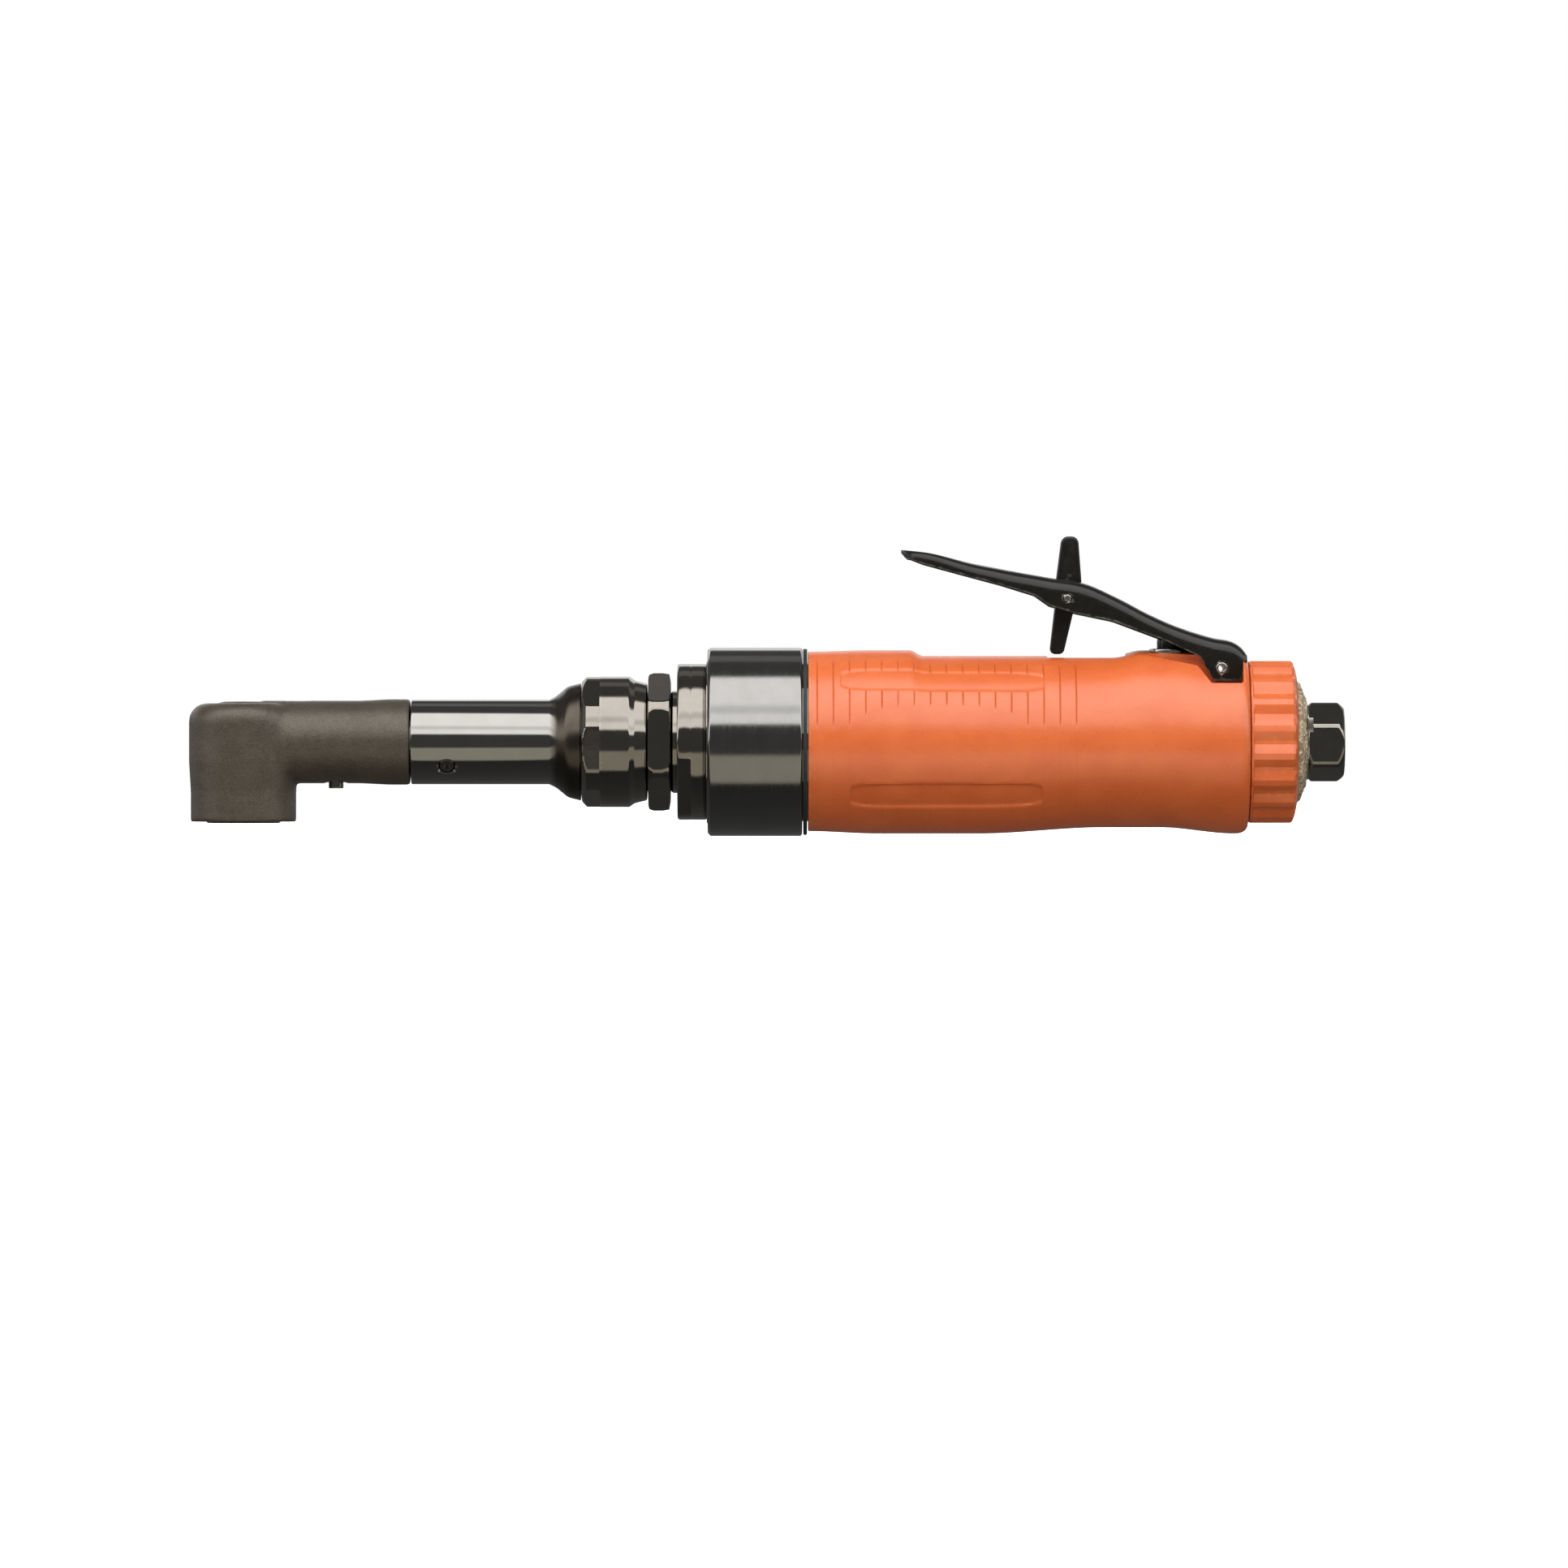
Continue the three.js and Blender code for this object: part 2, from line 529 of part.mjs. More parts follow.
function buildGrip(parent) {
  const [front, rear] = GRIP;
  const boss = bar(rear - 2, 215.6, 9.0, 30);
  const cavity = bar(front - 1, 167, SLEEVE.outer + GAP, ROUND);
  const valveBore = upright(bar(-6, 25, 4.1), VALVE_X);
  const rimSeat = upright(bar(18.2, 25, 4.8), VALVE_X);
  const inletBore = join(bar(204, 218, 6.5), bar(192, 206, 3.2));
  const airPassage = bar(165, 192, 2.6, 12).translate(0, 0, 10.5);
  const exhausts = [200, 270, 340].map((angle) => {
    const [y, z] = [11.3 * Math.cos(rad(angle)), 11.3 * Math.sin(rad(angle))];
    return bar(165, rear + 1, 2.0, 12).translate(0, y, z);
  });
  const pinHole = bar(-8, 8, 1.25 + 0.2, 16).rotateZ(Math.PI / 2).translate(PIVOT.x, 0, PIVOT.z);
  const pocketShape = shapeOf([
    [187.4, 24], [187.4, 18.9], [189.4, 18.0], [199.6, 15.9], [202.2, 12.2], [214, 12.2], [214, 24],
  ]);
  const inside = LEVER.width / 2 - LEVER.sheet - 0.4;
  const pockets = [plateY(pocketShape, inside, 22), plateY(pocketShape, -22, -inside)];
  // The tab's lower arm folds down into this pocket as the lever is squeezed.
  const tabPocket = box(TAB.pocket, [-3.8, 3.8], [TAB.pocketFloor, 24]);
  const shell = cut(
    join(buildGripShell(), boss), cavity, valveBore, rimSeat, inletBore, airPassage, ...exhausts,
    pinHole, ...pockets, tabPocket,
  );
  place(parent, 'grip_housing', shell, composite);
}

// ---------------------------------------------------------------- throttle valve
function buildValve(parent) {
  const valve = section(parent, new THREE.Vector3(VALVE_X, 0, 0));
  const crossPort = bar(-6, 0, 1.7, 12).translate(0, 0, 10.5);
  const bushing = upright(turned([
    [8.0, 1.7], [8.0, 3.8], [18.5, 3.8], [18.5, 4.5], [19.3, 4.5], [19.5, 4.3], [19.5, 3.1], [15.6, 3.1],
    [15.6, 1.7],
  ], 24));
  place(valve, 'valve_bushing', cut(bushing, crossPort), brightSteel);
  const plunger = upright(turned([
    [4.4, 0], [4.4, 2.2], [5.0, 2.9], [7.2, 2.9], [7.7, 1.4], [18.9, 1.4], [18.9, 2.8], [21.2, 2.8],
    [22.0, 2.0], [22.3, 0],
  ], FINE));
  place(valve, 'valve_plunger', plunger, leverBlack);
  const spring = wire(new Helix(2.4, 5, 8.9), 0.4, 45).translate(0, 0, -5.2);
  place(valve, 'valve_spring', spring, brightSteel);
}

// ---------------------------------------------------------------- lever and lock-off tab
const LEVER_TOP = [
  [-66.5, 24.9], [-60, 23.9], [-51.6, 21.9], [-36.3, 19.1], [-28.6, 17.8], [-21.5, 14.7], [-15.4, 11.5],
  [-9.3, 8.8], [-2.1, 6.5], [2.0, 5.7], [4.2, 4.4], [5.4, 2.8],
];
const LEVER_BOTTOM = [
  [3.8, -2.6], [-1.6, -2.6], [-4.4, 2.3], [-12.3, 6.0], [-22.5, 9.8], [-30.7, 11.5], [-35.8, 13.0],
  [-38.9, 15.2], [-46, 17.4], [-54.2, 19.6], [-62.3, 21.8], [-66.5, 23.3],
];

// Sheet underside: the top line moved down by the sheet's thickness.
function lowered(points, distance) {
  return points.map((point, i) => {
    const before = points[Math.max(0, i - 1)];
    const after = points[Math.min(points.length - 1, i + 1)];
    const along = new THREE.Vector2().subVectors(after, before).normalize();
    return [point.x + along.y * distance, point.y - along.x * distance];
  });
}

function buildLever(parent) {
  const lever = section(parent, PIVOT);
  const top = new THREE.SplineCurve(LEVER_TOP.map(([x, z]) => new THREE.Vector2(x, z))).getPoints(24);
  const half = LEVER.width / 2;
  const outline = shapeOf([...top.map(({ x, y }) => [x, y]), ...LEVER_BOTTOM]);
  const blank = plateY(outline, -half, half);
  const underside = lowered(top, LEVER.sheet).filter(([x]) => x > -62 && x < 3);
  const channel = shapeOf([...underside, [12, underside.at(-1)[1] - 1], [12, -8], [-62, -8]]);
  const inside = half - LEVER.sheet;
  const tabSlot = box([-46.4, -28.2], [-LEVER.slotWidth / 2, LEVER.slotWidth / 2], [8, 30]);
  const pinHole = bar(-9, 9, 1.45, 16).rotateZ(Math.PI / 2);
  const tabPinHole = bar(-9, 9, TAB.pin + 0.2, 12).rotateZ(Math.PI / 2).translate(TAB_PIN.x, 0, TAB_PIN.z);
  // The paddle's free end is rounded in plan.
  const planShape = new THREE.Shape();
  planShape.moveTo(10, -half);
  planShape.lineTo(10, half);
  planShape.lineTo(-66.5 + half, half);
  planShape.absarc(-66.5 + half, 0, half, Math.PI / 2, 1.5 * Math.PI);
  const plan = new THREE.ExtrudeGeometry(planShape, { depth: 60, bevelEnabled: false, curveSegments: 10 });
  const body = cut(
    common(blank, plan.translate(0, 0, -20)), plateY(channel, -inside, inside),
    tabSlot, pinHole, tabPinHole,
  );
  place(lever, 'throttle_lever', body, leverBlack);
  const pin = tube(-half, half, 0.7, 1.25, 16).rotateZ(Math.PI / 2);
  place(lever, 'lever_pin', pin, brightSteel);

  const tabGroup = section(lever, TAB_PIN);
  const tabShape = new THREE.Shape();
  tabShape.moveTo(-2.3, 3.0);
  tabShape.lineTo(-1.0, 11.4);
  tabShape.absarc(0.65, 11.4, 1.65, Math.PI, 0, true);
  tabShape.lineTo(3.1, 3.6);
  tabShape.lineTo(1.4, -2.6);
  tabShape.lineTo(-0.9, -10.1);
  tabShape.absarc(-2.2, -10.35, 1.3, 0.2, -Math.PI, true);
  tabShape.lineTo(-2.6, -1.5);
  const tabBore = bar(-4, 4, TAB.pin + 0.15, 12).rotateZ(Math.PI / 2);
  const tab = cut(plateY(tabShape, -TAB.width / 2, TAB.width / 2), tabBore);
  place(tabGroup, 'lock_off_tab', tab, leverBlack);
  const tabPin = bar(-half, half, TAB.pin, 12).rotateZ(Math.PI / 2);
  place(tabGroup, 'lock_off_pin', tabPin, brightSteel);
  const coil = wire(new Helix(1.6, 2.5, 2.0), 0.25, 25).rotateX(-Math.PI / 2).translate(0, 3.1, 0);
  place(tabGroup, 'lock_off_spring', coil, brightSteel);
}

// ---------------------------------------------------------------- exhaust and inlet
function buildRear(parent) {
  const rearEnd = section(parent);
  const [front, rear] = EXHAUST;
  const flutes = 18;
  const perFlute = 3;
  const angles = Array.from({ length: flutes * perFlute }, (_, i) => 2 * Math.PI * i / (flutes * perFlute));
  const ridge = (angle) => {
    const along = (angle * flutes / (2 * Math.PI)) % 1;
    return along < 0.2 ? 16.2 : 17.2;
  };
  const collar = polarSolid(angles, (angle) => [
    [front, 9.4], [front, 17.2], [front + 1.6, ridge(angle)], [rear - 2.6, ridge(angle)], [rear, 15.0],
    [rear, 13.0], [front + 1.6, 13.0], [front + 1.6, 9.4],
  ]);
  place(rearEnd, 'exhaust_collar', collar, composite);

  const muffler = turned([
    [212.4, 9.3], [212.4, 12.7], [220.6, 12.7], [222.4, 10.6], [222.4, 6.6], [215.9, 6.6], [215.9, 9.3],
  ], 30);
  place(rearEnd, 'muffler_ring', muffler, felt);

  const washer = tube(222.5, 222.9, 6.5, 7.9, 24);
  const tongue = box([222.5, 222.9], [-9.4, -6.8], [2.0, 5.0]);
  const fold = box([222.5, 224.6], [-9.4, -8.9], [2.0, 5.0]);
  place(rearEnd, 'tab_washer', join(washer, tongue, fold), brightSteel);

  const [hexStart, hexEnd] = INLET_HEX;
  const hexagon = common(hexBar(hexStart, hexEnd, 8.4, 5), turned([
    [hexStart, 0], [hexStart, 8.0], [hexStart + 0.6, 8.4], [hexEnd - 1.3, 8.4], [hexEnd, 7.2], [hexEnd, 0],
  ], ROUND));
  const shank = bar(204.5, hexStart + 1, 6.1);
  const hoseBore = turned([
    [203, 0], [203, 3.0], [213, 3.0], [214.5, 5.5],
    [hexEnd - 0.6, 5.5], [hexEnd + 0.4, 6.5], [hexEnd + 0.4, 0],
  ], 24);
  place(rearEnd, 'inlet_bushing', cut(join(hexagon, shank), hoseBore), blackOxide);
  place(rearEnd, 'inlet_screen', tube(214.9, 215.7, 2.2, 5.2, 24), brightSteel);
}

// ---------------------------------------------------------------- assembly
const group = new THREE.Group();
const tool = section(group);
buildHead(tool);
buildExtension(tool);
buildGearCase(tool);
buildDriveTrain(tool);
buildMotor(tool);
buildGrip(tool);
buildValve(tool);
buildLever(tool);
buildRear(tool);

group.updateMatrixWorld(true);
const centre = new THREE.Box3().setFromObject(tool, true).getCenter(new THREE.Vector3());
tool.position.sub(centre);

export default group;
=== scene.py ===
"""Visual model of a lever-throttle right-angle air drill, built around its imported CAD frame.

Pieces are drawn in millimetres in the tool's own frame: X = 0 is the spindle axis, the motor axis
lies on Y = Z = 0 and the air inlet is at +X. FROM_TOOL carries them into the frame, in metres.
"""
import json
import math

import bmesh
import bpy
from mathutils import Matrix, Vector, noise


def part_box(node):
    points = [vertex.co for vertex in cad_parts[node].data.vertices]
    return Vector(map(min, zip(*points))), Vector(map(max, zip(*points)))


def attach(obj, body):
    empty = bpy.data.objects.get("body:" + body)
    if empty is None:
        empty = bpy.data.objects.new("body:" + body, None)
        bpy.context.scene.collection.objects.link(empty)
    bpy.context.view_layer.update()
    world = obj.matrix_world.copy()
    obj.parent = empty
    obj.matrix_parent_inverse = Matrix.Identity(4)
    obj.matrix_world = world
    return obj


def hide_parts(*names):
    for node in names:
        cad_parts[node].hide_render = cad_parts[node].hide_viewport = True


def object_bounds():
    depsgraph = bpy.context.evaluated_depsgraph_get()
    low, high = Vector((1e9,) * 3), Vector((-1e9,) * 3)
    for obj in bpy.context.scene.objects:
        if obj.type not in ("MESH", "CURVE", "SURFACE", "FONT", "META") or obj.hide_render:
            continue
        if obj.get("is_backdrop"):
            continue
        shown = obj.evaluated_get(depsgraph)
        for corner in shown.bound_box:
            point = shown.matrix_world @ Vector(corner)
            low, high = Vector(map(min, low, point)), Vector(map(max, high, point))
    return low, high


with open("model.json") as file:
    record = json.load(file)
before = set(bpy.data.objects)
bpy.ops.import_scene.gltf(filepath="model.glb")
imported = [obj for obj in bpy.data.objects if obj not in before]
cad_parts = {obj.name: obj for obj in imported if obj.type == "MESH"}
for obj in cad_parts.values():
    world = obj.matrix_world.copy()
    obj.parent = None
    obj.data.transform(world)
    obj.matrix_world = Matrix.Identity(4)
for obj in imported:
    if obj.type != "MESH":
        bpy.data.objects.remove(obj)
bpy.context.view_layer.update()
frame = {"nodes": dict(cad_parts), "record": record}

MM = 0.001
TURN = 2 * math.pi


def middle(node):
    """Centre of a CAD node's box."""
    low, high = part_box(node)
    return (Vector(low) + Vector(high)) / 2


ORIGIN = Vector((middle("output_spindle").x, 0, middle("housing_collar").z))
FROM_TOOL = Matrix.Translation(ORIGIN) @ Matrix.Diagonal((MM, MM, MM, 1))

# ---------------------------------------------------------------- shape helpers


def smoothstep(a, b, x):
    """Rises smoothly from 0 at a to 1 at b."""
    t = min(1, max(0, (x - a) / (b - a)))
    return t * t * (3 - 2 * t)


def lerp(a, b, t):
    """Straight blend from a to b."""
    return a + (b - a) * t


def contour(stations, x):
    """Smooth value at x between (x, value) stations."""
    if x <= stations[0][0]:
        return stations[0][1]
    for (xa, a), (xb, b) in zip(stations, stations[1:]):
        if x <= xb:
            return lerp(a, b, smoothstep(xa, xb, x))
    return stations[-1][1]


def steps(start, stop, size):
    """Evenly spaced values from start to stop, about size apart."""
    count = max(1, round(abs(stop - start) / size))
    return [lerp(start, stop, i / count) for i in range(count + 1)]


def rounded(corners, closed=True, arc=5):
    """Outline through (a, b, radius) corners, each one rounded by its radius."""
    points = [Vector(c[:2]) for c in corners]
    outline = []
    for i, corner in enumerate(corners):
        here = points[i]
        radius = corner[2] if len(corner) > 2 else 0
        ends = not closed and i in (0, len(corners) - 1)
        if not radius or ends:
            outline.append(tuple(here))
            continue
        before = (points[i - 1] - here).normalized()
        after = (points[(i + 1) % len(points)] - here).normalized()
        half = before.angle(after) / 2
        reach = radius / math.tan(half)
        centre = here + (before + after).normalized() * (radius / math.sin(half))
        start = here + before * reach - centre
        stop = here + after * reach - centre
        sweep = math.pi - 2 * half
        for j in range(arc + 1):
            t = j / arc
            spoke = start * math.sin((1 - t) * sweep) + stop * math.sin(t * sweep)
            outline.append(tuple(centre + spoke.normalized() * radius))
    return outline


def grid(rows, wrap_rows, wrap_points):
    """Vertices and faces of a grid of points, closed round on either way."""
    count = len(rows[0])
    vertices = [point for row in rows for point in row]
    faces = []
    for i in range(len(rows) if wrap_rows else len(rows) - 1):
        j = (i + 1) % len(rows)
        for a in range(count if wrap_points else count - 1):
            b = (a + 1) % count
            faces.append((i * count + a, j * count + a, j * count + b, i * count + b))
    return vertices, faces


def mesh_of(vertices, faces, close_ends=0):
    """A bmesh in tool millimetres; close_ends caps the first and last rows of that many points."""
    bm = bmesh.new()
    made = [bm.verts.new(v) for v in vertices]
    for face in faces:
        corners = [made[i] for i in face]
        if len(set(corners)) > 2:
            bm.faces.new(corners)
    if close_ends:
        bm.faces.new(made[:close_ends])
        bm.faces.new(made[-close_ends:])
    bmesh.ops.remove_doubles(bm, verts=bm.verts, dist=1e-4)
    bmesh.ops.dissolve_degenerate(bm, dist=1e-5, edges=bm.edges)
    bmesh.ops.recalc_face_normals(bm, faces=bm.faces)
    return bm


def about_x(profile_at, count):
    """Solid of revolution about X whose (x, radius) profile may change with the angle."""
    rows = []
    for i in range(count):
        angle = TURN * i / count
        rows.append([(x, r * math.cos(angle), r * math.sin(angle)) for x, r in profile_at(angle)])
    closed = profile_at(0)[0][1] > 0
    return mesh_of(*grid(rows, True, closed))


def turned(corners, count=128, arc=5):
    """Lathed solid from (x, radius, rounding) corners, a closed ring or from axis to axis."""
    closed = corners[0][1] > 0
    profile = rounded(corners, closed, arc)
    return about_x(lambda angle: profile, count)


def dense(profile, size):
    """The same profile with extra points, no further apart than size."""
    points = []
    for (xa, ra), (xb, rb) in zip(profile, profile[1:]):
        gap = math.hypot(xb - xa, rb - ra)
        parts = max(1, math.ceil(gap / size))
        points += [(lerp(xa, xb, i / parts), lerp(ra, rb, i / parts)) for i in range(parts)]
    return points + [profile[-1]]


def soft_min(a, b, blend):
    """The smaller of two values, eased over blend where they are close."""
    h = max(blend - abs(a - b), 0) / blend
    return min(a, b) - h * h * blend / 4


def hex_radius(angle, across, phase, blend=0.25):
    """Radius of a hexagon with slightly rounded corners; phase is the angle of one corner."""
    turn = (angle - phase) % (TURN / 6)
    near = across / 2 / math.cos(turn - TURN / 12)
    past = across / 2 / math.cos(turn + TURN / 12 - (TURN / 3 if turn > TURN / 12 else 0))
    return soft_min(near, past, blend) if abs(past) < 4 * across else near


def hex_bar(start, end, across, count=48):
    """Hexagonal bar about X, as the cutter of a hexagon socket."""
    def profile(angle):
        radius = hex_radius(angle, across, 0)
        return [(start, 0), (start, radius), (end, radius), (end, 0)]

    return about_x(profile, count)


def place_bm(bm, matrix):
    """Moves a whole solid."""
    bmesh.ops.transform(bm, matrix=matrix, verts=bm.verts)
    return bm


def downward(bm, x=0.0):
    """Turns a solid drawn about X so that its +X points down along the spindle axis."""
    return place_bm(bm, Matrix.Translation((x, 0, 0)) @ Matrix.Rotation(math.pi / 2, 4, "Y"))


def upward(bm, x=0.0):
    """Turns a solid drawn about X so that its +X points up, at x along the tool."""
    return place_bm(bm, Matrix.Translation((x, 0, 0)) @ Matrix.Rotation(-math.pi / 2, 4, "Y"))


def across_y(bm, x=0.0, z=0.0):
    """Turns a solid drawn about X so that it lies across the tool at (x, z)."""
    return place_bm(bm, Matrix.Translation((x, 0, z)) @ Matrix.Rotation(math.pi / 2, 4, "Z"))


def plate_y(outline, y0, y1):
    """Outline in (x, z), pushed along Y."""
    rows = [[(x, y, z) for x, z in outline] for y in (y0, y1)]
    return mesh_of(*grid(rows, False, True), close_ends=len(outline))


def block(x, y, z):
    """Cutter or blank between two places on each axis."""
    return plate_y([(x[0], z[0]), (x[1], z[0]), (x[1], z[1]), (x[0], z[1])], *y)


def bar(x0, x1, radius, count=64, rounding=0.0):
    """Round bar about X."""
    return turned([(x0, 0), (x0, radius, rounding), (x1, radius, rounding), (x1, 0)], count, 3)


def new_object(name, bm):
    """Turns a solid into an object in the scene."""
    mesh = bpy.data.meshes.new(name)
    bm.to_mesh(mesh)
    bm.free()
    obj = bpy.data.objects.new(name, mesh)
    bpy.context.scene.collection.objects.link(obj)
    return obj


def applied(obj, kind, **settings):
    """Adds a modifier, keeps its result and removes it."""
    modifier = obj.modifiers.new(kind, kind)
    for key, value in settings.items():
        setattr(modifier, key, value)
    graph = bpy.context.evaluated_depsgraph_get()
    result = bpy.data.meshes.new_from_object(obj.evaluated_get(graph))
    obj.modifiers.clear()
    old = obj.data
    obj.data = result
    bpy.data.meshes.remove(old)
    return obj


def combined(bm, operation, *others):
    """Solid bm with the other solids cut from it, joined to it, or kept in common."""
    obj = new_object("work", bm)
    for other in others:
        tool = new_object("tool", other)
        applied(obj, "BOOLEAN", operation=operation, solver="EXACT", object=tool)
        bpy.data.objects.remove(tool)
    result = bmesh.new()
    result.from_mesh(obj.data)
    bpy.data.objects.remove(obj)
    return result


def reworked(bm, kind, **settings):
    """Solid bm after one modifier."""
    obj = applied(new_object("work", bm), kind, **settings)
    result = bmesh.new()
    result.from_mesh(obj.data)
    bpy.data.objects.remove(obj)
    return result


def soften(bm, width, limit=40, segments=2):
    """Rounds the sharp edges that booleans and extrusions leave."""
    return reworked(bm, "BEVEL", width=width, segments=segments, limit_method="ANGLE",
                    angle_limit=math.radians(limit), use_clamp_overlap=True)


def mark_edges(mesh):
    """Stores how sharp and how convex the surface is at each point, for edge wear."""
    bm = bmesh.new()
    bm.from_mesh(mesh)
    sharpness = []
    for vert in bm.verts:
        turns = [edge.calc_face_angle_signed(0) for edge in vert.link_edges]
        sharpness.append(max(turns, default=0))
    spread = []
    for vert in bm.verts:
        around = [sharpness[edge.other_vert(vert).index] for edge in vert.link_edges]
        spread.append(max(sharpness[vert.index], 0.5 * max(around, default=0)))
    bm.free()
    layer = mesh.attributes.new("edge", "FLOAT", "POINT")
    layer.data.foreach_set("value", [min(1, max(0, value / 0.9)) for value in spread])


def piece(name, bm, material, body, node=None, sharp=32):
    """Finishes a solid drawn in tool millimetres as a piece of the tool."""
    bmesh.ops.transform(bm, matrix=FROM_TOOL, verts=bm.verts)
    obj = new_object(name, bm)
    mark_edges(obj.data)
    obj.data.shade_smooth()
    obj.data.set_sharp_from_angle(angle=math.radians(sharp))
    obj.data.materials.append(material)
    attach(obj, body)
    if node:
        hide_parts(node)
    return obj


SLOTS = {part["node"]: part["material_slot"] for part in frame["record"]["subparts"]}
BODY_OF = {node: body for body, nodes in frame["record"]["behaviour"]["bodies"].items() for node in nodes}

# ---------------------------------------------------------------- material helpers


class Shader:
    """Small builder for a procedural material in object coordinates."""

    def __init__(self, name, **values):
        self.material = bpy.data.materials.new(name)
        self.material.use_nodes = True
        self.tree = self.material.node_tree
        self.bsdf = self.tree.nodes["Principled BSDF"]
        for key, value in values.items():
            self.bsdf.inputs[key.replace("_", " ")].default_value = value
        self.coords = self.tree.nodes.new("ShaderNodeTexCoord").outputs["Object"]

    def node(self, kind, **links):
        made = self.tree.nodes.new(kind)
        for key, value in links.items():
            self.feed(made.inputs[key.replace("_", " ")], value)
        return made

    def feed(self, socket, value):
        if isinstance(value, bpy.types.NodeSocket):
            self.tree.links.new(value, socket)
        else:
            socket.default_value = value

    def set(self, name, value):
        self.feed(self.bsdf.inputs[name], value)

    def stretched(self, scale):
        mapping = self.node("ShaderNodeMapping", Vector=self.coords)
        mapping.inputs["Scale"].default_value = scale
        return mapping.outputs["Vector"]

    def noise(self, scale, detail=3.0, rough=0.5, vector=None):
        made = self.node("ShaderNodeTexNoise", Vector=vector or self.coords,
                         Scale=scale, Detail=detail, Roughness=rough)
        return made.outputs["Fac"]

    def patchy(self, scale, detail, low, high):
        """Number that wanders between low and high in soft patches."""
        return self.ramp(self.noise(scale, detail), low, high, 0.3, 0.7)

    def mottled(self, scale, detail, dark, light):
        """Two tones in soft patches."""
        return self.mix(self.patchy(scale, detail, 0, 1), dark, light)

    def worn(self, tone, bare, share, scale, detail=4.0, spread=0.5, start=0.75, stop=1.1):
        """Tone that turns to the bare one on sharp edges, unevenly."""
        uneven = self.ramp(self.noise(scale, detail), -spread, spread)
        rub = self.math("ADD", self.attribute("edge"), uneven)
        return self.mix(self.ramp(rub, 0, share, start, stop), tone, bare)

    def cells(self, scale, output="Distance"):
        made = self.node("ShaderNodeTexVoronoi", Vector=self.coords, Scale=scale)
        return made.outputs[output]

    def attribute(self, name):
        made = self.tree.nodes.new("ShaderNodeAttribute")
        made.attribute_name = name
        return made.outputs["Fac"]

    def math(self, operation, a, b=0.0, clamp=False):
        made = self.tree.nodes.new("ShaderNodeMath")
        made.operation = operation
        made.use_clamp = clamp
        self.feed(made.inputs[0], a)
        self.feed(made.inputs[1], b)
        return made.outputs[0]

    def axis_mask(self, axis, start, stop):
        """Rises from 0 to 1 along an axis of the frame."""
        parts = self.node("ShaderNodeSeparateXYZ", Vector=self.coords)
        return self.ramp(parts.outputs[axis], 0, 1, start, stop)

    def ramp(self, value, low, high, start=0.0, stop=1.0):
        made = self.tree.nodes.new("ShaderNodeMapRange")
        self.feed(made.inputs["Value"], value)
        for key, number in (("From Min", start), ("From Max", stop), ("To Min", low), ("To Max", high)):
            made.inputs[key].default_value = number
        return made.outputs[0]

    def mix(self, factor, a, b):
        made = self.tree.nodes.new("ShaderNodeMix")
        made.data_type = "RGBA"
        self.feed(made.inputs["Factor"], factor)
        self.feed(made.inputs["A"], a if isinstance(a, bpy.types.NodeSocket) else (*a, 1))
        self.feed(made.inputs["B"], b if isinstance(b, bpy.types.NodeSocket) else (*b, 1))
        return made.outputs["Result"]

    def bump(self, height, distance, strength=1.0):
        """Adds a bump of that height in metres on top of the earlier ones."""
        made = self.node("ShaderNodeBump", Height=height, Strength=strength, Distance=distance)
        if self.bsdf.inputs["Normal"].is_linked:
            self.feed(made.inputs["Normal"], self.bsdf.inputs["Normal"].links[0].from_socket)
        self.set("Normal", made.outputs["Normal"])


# ---------------------------------------------------------------- materials
BELL_START = ORIGIN.x + 64.2 * MM


def metal(name, dark, light, bare, roughness, grain, wear=0.4):
    """Finished metal: mottled tone, fine grain and bare metal breaking through on edges."""
    shader = Shader(name, Metallic=1.0)
    tone = shader.mix(shader.noise(260, 4), dark, light)
    shader.set("Base Color", shader.worn(tone, bare, wear, 900, stop=1.05))
    shader.set("Roughness", shader.patchy(420, 5, roughness * 0.75, roughness * 1.3))
    shader.bump(shader.noise(grain, 3), 0.000004)
    return shader


def turning_lines(shader, across, along, detail=2, rough=0.5):
    """Fine rings left by turning about X."""
    return shader.noise(1.0, detail, rough, shader.stretched((across, along, along)))


def cast_steel():
    """Brown-grey cast skin: dark and light specks over a coarse grain."""
    shader = Shader("cast steel", Metallic=0.4, Specular_IOR_Level=0.8)
    tone = shader.mottled(180, 5, (0.07, 0.057, 0.041), (0.098, 0.08, 0.06))
    speck = shader.ramp(shader.noise(3800, 2), 0, 0.5, 0.42, 0.62)
    tone = shader.mix(speck, tone, (0.036, 0.028, 0.02))
    fleck = shader.ramp(shader.noise(5200, 2), 0, 0.5, 0.6, 0.7)
    tone = shader.mix(fleck, tone, (0.2, 0.14, 0.1))
    shader.set("Base Color", shader.worn(tone, (0.2, 0.17, 0.135), 0.4, 700, spread=0.4, start=0.7))
    shader.set("Roughness", shader.patchy(900, 4, 0.31, 0.45))
    shader.bump(shader.noise(3600, 4, 0.6), 0.00006, 0.8)
    shader.bump(shader.noise(700, 2), 0.00012, 0.5)
    return shader.material


